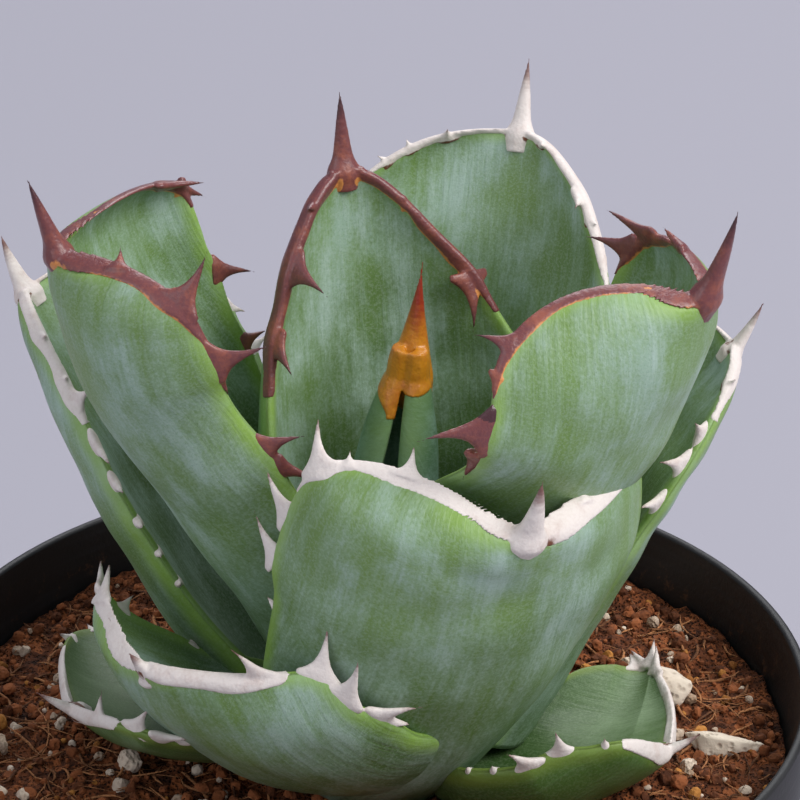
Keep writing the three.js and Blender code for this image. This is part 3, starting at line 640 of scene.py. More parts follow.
def turn_outwards(mesh: bpy.types.Mesh) -> None:
    """Make every closed form in a mesh face outwards.

    Args:
        mesh: the mesh.
    """
    shape = bmesh.new()
    shape.from_mesh(mesh)
    bmesh.ops.recalc_face_normals(shape, faces=shape.faces)
    shape.to_mesh(mesh)
    shape.free()


def place(name: str, mesh: bpy.types.Mesh, material: bpy.types.Material) -> bpy.types.Object:
    """Put a mesh in the scene as a smooth piece.

    Args:
        name: the piece's name.
        mesh: its mesh.
        material: its material.

    Returns:
        The object, riding on the part's one body.
    """
    piece = bpy.data.objects.new(name, mesh)
    bpy.context.scene.collection.objects.link(piece)
    mesh.materials.clear()
    mesh.materials.append(material)
    mesh.polygons.foreach_set("use_smooth", np.ones(len(mesh.polygons), bool))
    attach(piece, "root")
    LOG.info("%s: %d faces", name, len(mesh.polygons))
    return piece


def store(mesh: bpy.types.Mesh, name: str, values: Array) -> None:
    """Keep a number or a vector for each point of a mesh.

    Args:
        mesh: the mesh.
        name: the attribute's name.
        values: one entry for each point.
    """
    kind = "FLOAT_VECTOR" if values.ndim == 2 else "FLOAT"
    made = mesh.attributes.new(name, kind, "POINT")
    made.data.foreach_set("vector" if values.ndim == 2 else "value", values.astype(np.float32).ravel())


def add_node(tree: Tree, kind: str, inputs: dict | None = None, **settings: object) -> bpy.types.Node:
    """Add a shader node.

    Args:
        tree: the node tree.
        kind: the node's type name.
        inputs: socket name or index to a value, or to the socket it is joined to.
        settings: the node's own properties.

    Returns:
        The node.
    """
    made = tree.nodes.new(kind)
    for key, value in settings.items():
        setattr(made, key, value)
    for key, value in (inputs or {}).items():
        socket = made.inputs[key]
        if isinstance(value, bpy.types.NodeSocket):
            tree.links.new(value, socket)
        else:
            socket.default_value = value
    return made


def calc(tree: Tree, operation: str, *values: object, clamp: bool = False) -> Socket:
    """Join numbers by a sum, product or other operation.

    Args:
        tree: the node tree.
        operation: the operation's name.
        values: numbers, or the sockets they are joined to.
        clamp: whether the result stays between 0 and 1.

    Returns:
        The result's socket.
    """
    made = add_node(tree, "ShaderNodeMath", dict(enumerate(values)), operation=operation)
    made.use_clamp = clamp
    return made.outputs[0]


def blend(tree: Tree, share: object, first: object, second: object, mode: str = "MIX") -> Socket:
    """Mix two colours and return the result's socket.

    Args:
        tree: the node tree.
        share: how much of the second shows.
        first: the colour below.
        second: the colour above.
        mode: how they mix.

    Returns:
        The mixed colour.
    """
    made = add_node(tree, "ShaderNodeMix", data_type="RGBA", blend_type=mode)
    for index, value in ((0, share), (6, first), (7, second)):
        if isinstance(value, bpy.types.NodeSocket):
            tree.links.new(value, made.inputs[index])
        else:
            made.inputs[index].default_value = value
    return made.outputs[2]


def ease(tree: Tree, value: object, low: object, high: object) -> Socket:
    """A soft step from 0 at low to 1 at high.

    Args:
        tree: the node tree.
        value: what is stepped.
        low: where the step starts.
        high: where it ends.

    Returns:
        The step's socket.
    """
    inputs = {"Value": value, "From Min": low, "From Max": high}
    made = add_node(tree, "ShaderNodeMapRange", inputs, interpolation_type="SMOOTHSTEP")
    return made.outputs["Result"]


def noise(tree: Tree, vector: object, scale: float, detail: float = 2.0, rough: float = 0.5) -> Socket:
    """Cloudy noise from 0 to 1.

    Args:
        tree: the node tree.
        vector: the coordinates.
        scale: waves for each unit.
        detail: how many finer layers it has.
        rough: how strong the finer layers are.

    Returns:
        The noise value's socket.
    """
    inputs = {"Vector": vector, "Scale": scale, "Detail": detail, "Roughness": rough}
    return add_node(tree, "ShaderNodeTexNoise", inputs).outputs["Fac"]


def stretch(tree: Tree, vector: object, scale: tuple[float, float, float]) -> Socket:
    """Scale coordinates by a different amount along each axis."""
    return add_node(tree, "ShaderNodeMapping", {"Vector": vector, "Scale": scale}).outputs[0]


def attribute(tree: Tree, name: str, output: str = "Fac") -> Socket:
    """Read a stored attribute."""
    return add_node(tree, "ShaderNodeAttribute", attribute_name=name).outputs[output]


def new_group(name: str, inputs: dict[str, tuple[str, object]], outputs: dict[str, str]) -> Tree:
    """Start a node group.

    Args:
        name: the group's name.
        inputs: socket name to its kind and default.
        outputs: socket name to its kind.

    Returns:
        The group's node tree.
    """
    tree = bpy.data.node_groups.new(name, "ShaderNodeTree")
    for key, (kind, default) in inputs.items():
        socket = tree.interface.new_socket(name=key, in_out="INPUT", socket_type=kind)
        if default is not None:
            socket.default_value = default
    for key, kind in outputs.items():
        tree.interface.new_socket(name=key, in_out="OUTPUT", socket_type=kind)
    return tree


NUMBER, VECTOR = "NodeSocketFloat", "NodeSocketVector"


class Effects:
    """Shader effects that more than one material uses, each built once."""

    def __init__(self) -> None:
        """Build the groups."""
        self.streaks = self.build_streaks()
        self.mottle = self.build_mottle()
        self.grains = self.build_grains()

    def use(self, tree: Tree, group: Tree, inputs: dict) -> bpy.types.Node:
        """Place a group in a material.

        Args:
            tree: the material's tree.
            group: the group.
            inputs: its values or joined sockets.

        Returns:
            The group node.
        """
        made = add_node(tree, "ShaderNodeGroup", node_tree=group)
        for key, value in inputs.items():
            if isinstance(value, bpy.types.NodeSocket):
                tree.links.new(value, made.inputs[key])
            else:
                made.inputs[key].default_value = value
        return made

    def build_streaks(self) -> Tree:
        """Fine streaks that run along a leaf or a fibre.

        Returns:
            The group's node tree.
        """
        tree = new_group(
            "lengthwise_streaks",
            {"Flow": (VECTOR, None), "Fineness": (NUMBER, 1.0)},
            {"Mask": NUMBER},
        )
        inlet = add_node(tree, "NodeGroupInput")
        flow = inlet.outputs["Flow"]
        scaled = add_node(
            tree, "ShaderNodeVectorMath", {0: flow, "Scale": inlet.outputs["Fineness"]}, operation="SCALE"
        ).outputs[0]
        broad = noise(tree, stretch(tree, scaled, (0.55, 0.045, 1.0)), 1.0, 2.0)
        fine = noise(tree, stretch(tree, scaled, (2.4, 0.16, 1.0)), 1.0, 3.0)
        total = calc(tree, "MULTIPLY_ADD", broad, 0.6, calc(tree, "MULTIPLY", fine, 0.4))
        mask = ease(tree, total, 0.38, 0.64)
        add_node(tree, "NodeGroupOutput", {"Mask": mask})
        return tree

    def build_mottle(self) -> Tree:
        """Soft patches with broken borders, as where a powder is rubbed off.

        Returns:
            The group's node tree.
        """
        tree = new_group(
            "rubbed_patches",
            {
                "Flow": (VECTOR, None), "Scale": (NUMBER, 0.12), "Cover": (NUMBER, 0.5),
                "Break": (NUMBER, 0.3), "Soft": (NUMBER, 0.16),
            },
            {"Mask": NUMBER},
        )
        inlet = add_node(tree, "NodeGroupInput")
        flow, scale = inlet.outputs["Flow"], inlet.outputs["Scale"]
        patch = add_node(
            tree, "ShaderNodeTexNoise", {"Vector": flow, "Scale": scale, "Detail": 3.0, "Roughness": 0.6}
        ).outputs["Fac"]
        crumb = noise(tree, flow, 2.6, 3.0, 0.6)
        offset = calc(tree, "MULTIPLY", calc(tree, "SUBTRACT", crumb, 0.5), inlet.outputs["Break"])
        total = calc(tree, "ADD", patch, offset)
        low = calc(tree, "SUBTRACT", 0.9, inlet.outputs["Cover"])
        high = calc(tree, "ADD", low, inlet.outputs["Soft"])
        add_node(tree, "NodeGroupOutput", {"Mask": ease(tree, total, low, high)})
        return tree

    def build_grains(self) -> Tree:
        """Small round grains and pits.

        Returns:
            The group's node tree.
        """
        tree = new_group(
            "grains_and_pits",
            {"Vector": (VECTOR, None), "Scale": (NUMBER, 900.0)},
            {"Height": NUMBER, "Tint": NUMBER},
        )
        inlet = add_node(tree, "NodeGroupInput")
        cells = add_node(
            tree, "ShaderNodeTexVoronoi", {"Vector": inlet.outputs["Vector"], "Scale": inlet.outputs["Scale"]}
        )
        rise = ease(tree, cells.outputs["Distance"], 0.05, 0.5)
        tint = add_node(tree, "ShaderNodeSeparateColor", {0: cells.outputs["Color"]}).outputs[0]
        add_node(tree, "NodeGroupOutput", {"Height": rise, "Tint": tint})
        return tree


class Paint:
    """One material under construction."""

    def __init__(self, name: str) -> None:
        """Start an empty material with a principled shader.

        Args:
            name: the material's name.
        """
        self.material = bpy.data.materials.new(name)
        self.material.use_nodes = True
        self.tree = self.material.node_tree
        self.tree.nodes.clear()
        self.shader = add_node(self.tree, "ShaderNodeBsdfPrincipled")
        add_node(self.tree, "ShaderNodeOutputMaterial", {"Surface": self.shader.outputs[0]})

    def set(self, **sockets: object) -> None:
        """Set or join the shader's sockets, named with underscores for spaces."""
        for key, value in sockets.items():
            socket = self.shader.inputs[key.replace("_", " ")]
            if isinstance(value, bpy.types.NodeSocket):
                self.tree.links.new(value, socket)
            else:
                socket.default_value = value

    def bump(self, height: Socket, distance: float, strength: float = 1.0) -> None:
        """Raise the surface by a height map.

        Args:
            height: the map.
            distance: the height of a full step, in metres.
            strength: how much of it shows.
        """
        inputs = {"Height": height, "Distance": distance, "Strength": strength}
        self.set(Normal=add_node(self.tree, "ShaderNodeBump", inputs).outputs[0])

    def metres(self) -> Socket:
        """Coordinates in the part's own frame."""
        return add_node(self.tree, "ShaderNodeTexCoord").outputs["Object"]

    def millimetres(self) -> Socket:
        """The same coordinates, counted in millimetres."""
        return stretch(self.tree, self.metres(), PER_METRE)


@dataclass(frozen=True)
class SkinWeights:
    """How strongly streaks, powder, pores, edges and the painted shade towards the base and on the inner face
    show on every leaf's skin.
    """

    patch_stretch: tuple[float, float, float] = (1.0, 0.6, 1.0)
    patch_scale: float = 0.11
    patch_break: float = 0.24
    patch_soft: float = 0.32
    rub_stretch: tuple[float, float, float] = (1.0, 0.5, 1.0)
    rub_scale: float = 0.17
    rub_break: float = 0.3
    rub_strength: float = 0.7
    green_least: float = 0.6
    green_cloud: float = 0.4
    outer_face_painted_light: float = 0.2
    powder_least: float = 0.1
    powder_patch: float = 0.66
    powder_streak: float = 0.2
    powder_at_base: float = 0.42
    powder_up: float = 0.6
    bright_streak: float = 0.3
    bright_speck: float = 0.16
    dark_pore: float = 0.2
    edge_least: float = 0.35
    edge_waver: float = 0.5
    powder_matt: float = 0.2
    specular: float = 0.4
    streak_relief: float = 0.55
    grain_relief: float = 0.45
    relief: float = 0.00009
    relief_strength: float = 0.9


SKIN = SkinWeights()


@dataclass(frozen=True)
class BladeFinish:
    """Colours and wear of a leaf's skin; deep is the green of the painted shade and of the pores."""

    name: str
    deep: tuple[float, float, float, float]
    green: tuple[float, float, float, float]
    powder: tuple[float, float, float, float]
    bright: tuple[float, float, float, float]
    edge: tuple[float, float, float, float]
    cover: float
    rub: float
    roughness: float

    def paint(self, effects: Effects) -> bpy.types.Material:
        """Build the material.

        Args:
            effects: the shared effects.

        Returns:
            The finished material.
        """
        paint = Paint(self.name)
        tree = paint.tree
        flow = attribute(tree, "flow", "Vector")
        edge, along, outer = (attribute(tree, key) for key in ("edge", "along", "outer"))
        streak = effects.use(tree, effects.streaks, {"Flow": flow}).outputs["Mask"]
        patch = effects.use(
            tree, effects.mottle,
            {
                "Flow": stretch(tree, flow, SKIN.patch_stretch), "Scale": SKIN.patch_scale,
                "Cover": self.cover, "Break": SKIN.patch_break, "Soft": SKIN.patch_soft,
            },
        ).outputs["Mask"]
        rubbed = effects.use(
            tree, effects.mottle,
            {
                "Flow": stretch(tree, flow, SKIN.rub_stretch), "Scale": SKIN.rub_scale,
                "Cover": self.rub, "Break": SKIN.rub_break,
            },
        ).outputs["Mask"]
        # Painted shade: the green fades to the deep colour towards the leaf's base, and the inner face stays
        # darker than the outer one.
        height = ease(tree, along, 0.05, 0.8)
        broad = ease(tree, noise(tree, flow, 0.06, 1.0), 0.3, 0.7)
        lit = calc(tree, "MULTIPLY_ADD", broad, SKIN.green_cloud, SKIN.green_least)
        lit = calc(tree, "MULTIPLY", lit, height)
        lit = calc(tree, "MULTIPLY_ADD", outer, SKIN.outer_face_painted_light, lit, clamp=True)
        base = blend(tree, lit, self.deep, self.green)
        powder = calc(tree, "MULTIPLY_ADD", patch, SKIN.powder_patch, SKIN.powder_least)
        powder = calc(tree, "MULTIPLY_ADD", streak, SKIN.powder_streak, powder)
        upward = calc(tree, "MULTIPLY_ADD", height, SKIN.powder_up, SKIN.powder_at_base)
        powder = calc(tree, "MULTIPLY", powder, upward)
        keep = calc(tree, "SUBTRACT", 1.0, calc(tree, "MULTIPLY", rubbed, SKIN.rub_strength))
        powder = calc(tree, "MULTIPLY", powder, keep, clamp=True)
        colour = blend(tree, powder, base, self.powder)
        glow = calc(tree, "MULTIPLY", calc(tree, "MULTIPLY", patch, streak), SKIN.bright_streak)
        colour = blend(tree, glow, colour, self.bright)
        speck = ease(tree, noise(tree, flow, 3.4, 2.0, 0.7), 0.45, 0.62)
        colour = blend(tree, calc(tree, "MULTIPLY", speck, SKIN.bright_speck), colour, self.bright)
        pores = ease(tree, noise(tree, flow, 6.0, 1.0), 0.6, 0.7)
        colour = blend(tree, calc(tree, "MULTIPLY", pores, SKIN.dark_pore), colour, self.deep)
        near = calc(tree, "SUBTRACT", 1.0, ease(tree, edge, 0.5, 2.4))
        wavy = calc(tree, "MULTIPLY_ADD", noise(tree, flow, 0.4), SKIN.edge_waver, SKIN.edge_least)
        colour = blend(tree, calc(tree, "MULTIPLY", near, wavy), colour, self.edge)
        matt = calc(tree, "MULTIPLY_ADD", powder, SKIN.powder_matt, self.roughness)
        paint.set(Base_Color=colour, Roughness=matt, Specular_IOR_Level=SKIN.specular)
        grain = noise(tree, flow, 4.0, 3.0, 0.6)
        fine = calc(tree, "MULTIPLY", grain, SKIN.grain_relief)
        paint.bump(
            calc(tree, "MULTIPLY_ADD", streak, SKIN.streak_relief, fine), SKIN.relief, SKIN.relief_strength
        )
        return paint.material


@dataclass(frozen=True)
class HornWeights:
    """How strongly patches, freckles and swells show on every horn."""

    patch_scale: float = 0.3
    patch_cover: float = 0.44
    patch_break: float = 0.3
    patch_soft: float = 0.3
    patch_shade: float = 0.75
    freckle_shade: float = 0.2
    waver: float = 0.4
    border_run: float = 0.16
    tip_waver: float = 0.5
    tip_run: float = 0.4
    coat_roughness: float = 0.3
    patch_matt: float = 0.15
    swell_relief: float = 1.6
    grain_relief: float = 0.6
    relief: float = 0.00012
    relief_strength: float = 0.8


HORN = HornWeights()


@dataclass(frozen=True)
class HornFinish:
    """Colours of the hard margin, its teeth and the end spine."""

    name: str
    body: tuple[float, float, float, float]
    body_shade: tuple[float, float, float, float]
    border: tuple[float, float, float, float]
    tip: tuple[float, float, float, float]
    tip_start: float
    border_start: float
    roughness: float
    coat: float

    def paint(self, effects: Effects) -> bpy.types.Material:
        """Build the material.

        Args:
            effects: the shared effects.

        Returns:
            The finished material.
        """
        paint = Paint(self.name)
        tree = paint.tree
        flow = paint.millimetres()
        inset = attribute(tree, "inset")
        point = attribute(tree, "point")
        grain = noise(tree, flow, 3.0, 3.0, 0.6)
        patch = effects.use(
            tree, effects.mottle,
            {
                "Flow": flow, "Scale": HORN.patch_scale, "Cover": HORN.patch_cover,
                "Break": HORN.patch_break, "Soft": HORN.patch_soft,
            },
        ).outputs["Mask"]
        shade = calc(tree, "MULTIPLY", patch, HORN.patch_shade)
        colour = blend(tree, shade, self.body, self.body_shade)
        freckle = calc(tree, "MULTIPLY", ease(tree, grain, 0.4, 0.7), HORN.freckle_shade)
        colour = blend(tree, freckle, colour, self.body_shade)
        cloud = calc(tree, "SUBTRACT", noise(tree, flow, 0.9), 0.5)
        uneven = calc(tree, "MULTIPLY", cloud, HORN.waver)
        border_end = self.border_start + HORN.border_run
        inner = ease(tree, calc(tree, "ADD", inset, uneven), self.border_start, border_end)
        colour = blend(tree, inner, colour, self.border)
        reach = calc(tree, "ADD", point, calc(tree, "MULTIPLY", uneven, HORN.tip_waver))
        sharp = ease(tree, reach, self.tip_start, self.tip_start + HORN.tip_run)
        colour = blend(tree, sharp, colour, self.tip)
        paint.set(Base_Color=colour, Coat_Weight=self.coat, Coat_Roughness=HORN.coat_roughness)
        paint.set(Roughness=calc(tree, "MULTIPLY_ADD", patch, HORN.patch_matt, self.roughness))
        swell = noise(tree, flow, 0.8, 2.0)
        fine = calc(tree, "MULTIPLY", grain, HORN.grain_relief)
        height = calc(tree, "MULTIPLY_ADD", swell, HORN.swell_relief, fine)
        paint.bump(height, HORN.relief, HORN.relief_strength)
        return paint.material


BLADE_FINISHES = {
    Cover.YOUNG: BladeFinish(
        "young_leaf_skin", srgb(40, 76, 44), srgb(82, 118, 78), srgb(136, 166, 152), srgb(164, 190, 178),
        srgb(120, 150, 84), 0.5, 0.2, 0.45,
    ),
    Cover.GLAUCOUS: BladeFinish(
        "powdery_leaf_skin", srgb(44, 78, 18), srgb(106, 138, 52), srgb(156, 182, 170),
        srgb(186, 204, 194), srgb(140, 176, 70), 0.5, 0.22, 0.42,
    ),
    Cover.OLD: BladeFinish(
        "worn_leaf_skin", srgb(34, 62, 16), srgb(72, 106, 36), srgb(118, 144, 104), srgb(146, 166, 130),
        srgb(124, 146, 60), 0.38, 0.3, 0.42,
    ),
}

HORN_FINISHES = {
    Age.BUD: HornFinish(
        "amber_horn", srgb(204, 132, 26), srgb(178, 92, 22), srgb(112, 104, 44), srgb(150, 44, 22),
        0.3, 0.86, 0.28, 0.4,
    ),
    Age.FRESH: HornFinish(
        "maroon_horn", srgb(112, 60, 62), srgb(160, 88, 66), srgb(212, 138, 76), srgb(70, 36, 42),
        0.5, 0.66, 0.34, 0.25,
    ),
    Age.WEATHERED: HornFinish(
        "chalky_horn", srgb(228, 218, 212), srgb(206, 188, 180), srgb(112, 66, 42), srgb(118, 82, 76),
        0.5, 0.8, 0.55, 0.0,
    ),
}


@dataclass
class Leaf:
    """One leaf: its blade and its horn."""

    form: LeafForm
    rows: int = 110
    columns: int = 44
    row_crowding: float = 1.5
    short_of_tip: float = 0.3
    side_crowding: float = 0.985
    voxel: float = 0.19
    soften: tuple[float, int] = (0.5, 3)
    strip_rows: int = 90
    strip_steps: int = 9
    strip_crowding: float = 2.2
    overhang: float = 0.12
    proud: tuple[float, float] = (-0.1, 0.3)
    tooth_rings: int = 12
    tooth_sides: int = 12
    tooth_root: float = 1.0
    sharpest: float = 0.09
    spine_rings: int = 24
    spine_sunk: float = 2.6
    spine_sharpest: float = 0.12
    mark_rows: int = 110
    mark_steps: int = 11
    mark_neighbours: int = 4

    def blade_mesh(self) -> bpy.types.Mesh:
        """Build the blade as one closed skin with the marks its material reads.

        Returns:
            The mesh.
        """
        form = self.form
        t = 1 - (1 - np.linspace(0, 1, self.rows)) ** self.row_crowding
        t = t * (1 - self.short_of_tip / form.length)
        quarter = math.pi / 2
        across = np.sin(np.linspace(-quarter, quarter, self.columns + 1) * self.side_crowding)
        across = across / across[-1]
        tt, uu = np.meshgrid(t, across, indexing="ij")
        for sign in (A, B):
            kept = 1 - form.tuck(t, sign) / form.half_width(t, float(sign))
            uu = np.where(uu * sign > 0, uu * kept[:, None], uu)
        low, high = form.skin(tt, uu)
        inner = form.surface(tt, uu, low)
        outer = form.surface(tt, uu, high)
        rings = np.concatenate([inner, outer[:, -2:0:-1]], axis=1)
        stock = Stock()
        stock.tube(rings)
        mesh = stock.mesh(f"blade_{form.number:02d}")
        turn_outwards(mesh)
        ut = np.concatenate([uu, uu[:, -2:0:-1]], axis=1)
        tr = np.repeat(t[:, None], ut.shape[1], axis=1)
        width = form.half_width(tr, ut)
        to_side = (1 - np.abs(ut)) * width
        to_tip = (1 - tr) * form.length
        back = outer[:, -2:0:-1]
        face = np.concatenate([np.zeros(inner.shape[:2]), np.ones(back.shape[:2])], axis=1)
        apart, faces_apart = 31.7, 9.0
        layer = form.number * apart + face * faces_apart
        flow = np.stack([ut * width, tr * form.length, layer], axis=-1)
        store(mesh, "flow", flow.reshape(-1, 3))
        store(mesh, "edge", np.minimum(to_side, to_tip).ravel())
        store(mesh, "along", tr.ravel())
        store(mesh, "outer", face.ravel())
        return mesh

    def strip(self, stock: Stock, sign: int) -> None:
        """Add the horny margin of one side.

        Args:
            stock: where it is gathered.
            sign: the side.
        """
        form = self.form
        start = form.horn[0] if sign > 0 else form.horn[1]
        t = start + (1 - start) * (1 - (1 - np.linspace(0, 1, self.strip_rows)) ** self.strip_crowding)
        width = form.half_width(t, float(sign))
        inner = 1 - form.band(t, sign) / width
        share = np.linspace(0, 1, self.strip_steps)
        u = inner[:, None] + (1 + self.overhang / width[:, None] - inner[:, None]) * share
        tt = np.repeat(t[:, None], len(share), axis=1)
        uu = sign * u
        low, high = form.skin(tt, np.clip(uu, -1, 1))
        proud = self.proud[1] * smoothstep(0.0, 0.4, share) + self.proud[0]
        middle = (low + high) / 2
        keep = np.sqrt(np.clip(1 - (share - 0.5).clip(0) ** 2 * 1.2, 0.2, 1))
        face_in = form.surface(tt, uu, middle + (low - proud - middle) * keep)
        face_out = form.surface(tt, uu, middle + (high + proud - middle) * keep)
        stock.tube(np.concatenate([face_in, face_out[:, ::-1]], axis=1))

    def tooth_line(self, tooth: Tooth) -> tuple[Array, Array, Array]:
        """Follow a tooth from inside the margin to its tip.

        Args:
            tooth: the tooth.

        Returns:
            Points, directions along the margin and shares of its length.
        """
        form = self.form
        t, u = np.array([tooth.place]), float(tooth.side)
        step = 0.01
        lift_off = np.array([HABIT.mid_blade])
        edge = form.surface(t, np.array([u]), lift_off)[0]
        ahead = form.surface(np.minimum(t + step, 1), np.array([u]), lift_off)[0]
        behind = form.surface(t - step, np.array([u]), lift_off)[0]
        margin = unit(ahead - behind)
        out = edge - form.surface(t, np.array([u * 0.9]), lift_off)[0]
        out = unit(out - np.dot(out, margin) * margin)
        off = np.cross(margin, out)
        off = off if np.dot(off, form.frame(t)[2][0]) > 0 else -off
        share = np.linspace(-0.12, 1.0, self.tooth_rings)
        lean, lift = math.radians(tooth.lean), math.radians(tooth.lift)
        points = [edge - out * self.tooth_root]
        hook = 0.45 * (1 if tooth.lean >= 0 else -1) * min(1.0, abs(tooth.lean) / 25 + 0.3)
        for previous, s in zip(share[:-1], share[1:], strict=True):
            a = lean + hook * (s - 0.45)
            way = out * math.cos(a) * math.cos(lift) + margin * math.sin(a) * math.cos(lift)
            way = way + off * math.sin(lift)
            reach = tooth.length + (self.tooth_root if s < 0.1 else 0)
            points.append(points[-1] + way * (s - previous) * reach)
        line = np.array(points)
        return line, np.broadcast_to(margin, line.shape), share

    def spike(self, stock: Stock, line: Array, wide: Array, sizes: tuple[Array, Array]) -> None:
        """Add a tapering spike.

        Args:
            stock: where it is gathered.
            line: its middle line.
            wide: directions of its breadth.
            sizes: half breadths and half depths.
        """
        forward = unit(np.gradient(line, axis=0))
        wide = unit(wide - dot(wide, forward) * forward)
        deep = np.cross(forward, wide)
        angle = np.linspace(0, 2 * math.pi, self.tooth_sides, endpoint=False)
        rings = line[:, None] + wide[:, None] * (np.cos(angle)[:, None] * sizes[0][:, None, None])
        rings = rings + deep[:, None] * (np.sin(angle)[:, None] * sizes[1][:, None, None])
        stock.tube(rings)

    def spine_line(self) -> tuple[Array, Array, Array]:
        """Follow the end spine.

        Returns:
            Points, breadth directions and shares of its length.
        """
        form = self.form
        length, root, bend = form.spine
        forward, across, inward = (v[0] for v in form.frame(np.array([1.0])))
        share = np.linspace(0, 1, self.spine_rings)
        sunk = self.spine_sunk + form.beak
        step = (length + sunk) / (len(share) - 1)
        at = form.middle(np.array([1.0]))[0] - inward * root * 0.5 - forward * sunk
        way = forward.copy()
        points = [at]
        for _ in share[1:]:
            way = unit(way + inward * math.radians(bend) / (len(share) - 1))
            points.append(points[-1] + way * step)
        line = np.array(points)
        return line, np.broadcast_to(across, line.shape), share

    def tooth_sizes(self, tooth: Tooth, s: Array) -> tuple[Array, Array]:
        """How broad and deep a tooth is, with a hollow flare at its foot.

        Args:
            tooth: the tooth.
            s: shares of its length.

        Returns:
            Half breadths and half depths.
        """
        base = 0.45 + 0.15 * tooth.length
        breadth = base * (0.66 * (1 - s) ** 2.8 + 0.34 * (1 - s) ** 0.9) * 1.15
        breadth = breadth + base * 0.8 * np.exp(-s / 0.08)
        depth = 0.55 * (1 - s) ** 0.75 + 0.1 * np.exp(-s / 0.1)
        return np.maximum(breadth, self.sharpest), np.maximum(depth, self.sharpest)

    def spine_sizes(self, share: Array) -> tuple[Array, Array]:
        """How broad and deep the end spine is, as a beak on the bud and with a collar elsewhere.

        Args:
            share: shares of its length.

        Returns:
            Half breadths and half depths.
        """
        root, flatness = self.form.spine[1], 0.8
        if self.form.beak:
            taper = root * np.minimum(1.95 * (1 - share) ** 1.35, 1.35) * smoothstep(-0.1, 0.12, share)
        else:
            collar = 0.35 * root * np.exp(-((share - 0.18) ** 2) / 0.012)
            taper = root * (1 - share) ** 0.85 + collar
        least = self.spine_sharpest
        return np.maximum(taper, least), np.maximum(taper * flatness, least)

    def horn_mesh(self) -> bpy.types.Mesh:
        """Build the horny margin, its teeth and the end spine as fused bodies.

        Returns:
            The mesh, with the marks its material reads.
        """
        form = self.form
        stock = Stock()
        axes: list[Array] = []
        tips: list[Array] = []
        for sign in (A, B):
            self.strip(stock, sign)
        for tooth in form.teeth:
            line, margin, share = self.tooth_line(tooth)
            s = np.clip(share, 0, 1)
            sizes = self.tooth_sizes(tooth, s)
            self.spike(stock, line, margin, sizes)
            axes.append(line)
            tips.append(s)
        line, across, share = self.spine_line()
        self.spike(stock, line, across, self.spine_sizes(share))
        axes.append(line)
        tips.append(np.clip((share - 0.2) / 0.8, 0, 1))
        mesh = self.fuse(stock, f"horn_{form.number:02d}")
        self.mark_horn(mesh, np.concatenate(axes), np.concatenate(tips))
        return mesh

    def fuse(self, stock: Stock, name: str) -> bpy.types.Mesh:
        """Melt overlapping forms into smooth closed bodies.

        Args:
            stock: the forms.
            name: the mesh's name.

        Returns:
            The fused mesh in metres.
        """
        raw = bpy.data.meshes.new(name + "_forms")
        raw.from_pydata(np.concatenate(stock.points).tolist(), [], stock.faces)
        turn_outwards(raw)
        helper = bpy.data.objects.new(name + "_forms", raw)
        bpy.context.scene.collection.objects.link(helper)
        melt = helper.modifiers.new("melt", "REMESH")
        melt.mode = "VOXEL"
        melt.voxel_size = self.voxel
        soften = helper.modifiers.new("soften", "SMOOTH")
        soften.factor, soften.iterations = self.soften
        ready = helper.evaluated_get(bpy.context.evaluated_depsgraph_get())
        mesh = bpy.data.meshes.new_from_object(ready)
        mesh.name = name
        bpy.data.objects.remove(helper)
        bpy.data.meshes.remove(raw)
        points = np.zeros(len(mesh.vertices) * 3, np.float32)
        mesh.vertices.foreach_get("co", points)
        mesh.vertices.foreach_set("co", points * MM)
        mesh.update()
        return mesh

    def mark_horn(self, mesh: bpy.types.Mesh, axes: Array, tips: Array) -> None:
        """Store how near each point is to the green blade and to a tooth's tip.

        Args:
            mesh: the horn's mesh.
            axes: points on the middle lines of teeth and spine.
            tips: share of the length at each of them.
        """
        form = self.form
        points = np.zeros(len(mesh.vertices) * 3, np.float32)
        mesh.vertices.foreach_get("co", points)
        points = points.reshape(-1, 3) / MM
        marks: list[tuple[Array, float]] = []
        for sign in (A, B):
            start = form.horn[0] if sign > 0 else form.horn[1]
            t = np.linspace(start, 1, self.mark_rows)
            width = form.half_width(t, float(sign))
            reach = form.band(t, sign) / width
            for share in np.linspace(0, 1, self.mark_steps):
                u = sign * (1 - share * reach)
                for lift in form.skin(t, u):
                    marks.extend((point, float(share)) for point in form.surface(t, u, lift))
        skin_tree, axis_tree = KDTree(len(marks)), KDTree(len(axes))
        for i, (spot, _share) in enumerate(marks):
            skin_tree.insert(spot, i)
        for i, spot in enumerate(axes):
            axis_tree.insert(spot, i)
        skin_tree.balance()
        axis_tree.balance()
        inset, point = np.zeros(len(points)), np.zeros(len(points))
        for i, spot in enumerate(points):
            found = skin_tree.find_n(spot, self.mark_neighbours)
            weight = [1 / (away + 0.05) for _co, _index, away in found]
            share = sum(w * marks[near[1]][1] for w, near in zip(weight, found, strict=True))
            stands_out = float(smoothstep(0.3, 1.0, np.float64(found[0][2])))
            inset[i] = share / sum(weight) * (1 - stands_out)
            point[i] = tips[axis_tree.find(spot)[1]] * stands_out
        store(mesh, "inset", inset)
        store(mesh, "point", point)

    def build(self, skins: dict, horns: dict) -> bpy.types.Object:
        """Make both pieces.

        Args:
            skins: blade material for each cover.
            horns: horn material for each age.

        Returns:
            The blade's object.
        """
        form = self.form
        tag = f"{form.number:02d}"
        blade = place(f"blade_{tag}", self.blade_mesh(), skins[form.cover])
        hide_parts(f"leaf_{tag}")
        horn = place(f"toothed_margin_{tag}", self.horn_mesh(), horns[form.age])
        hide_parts(f"horn_{tag}")
        return blade


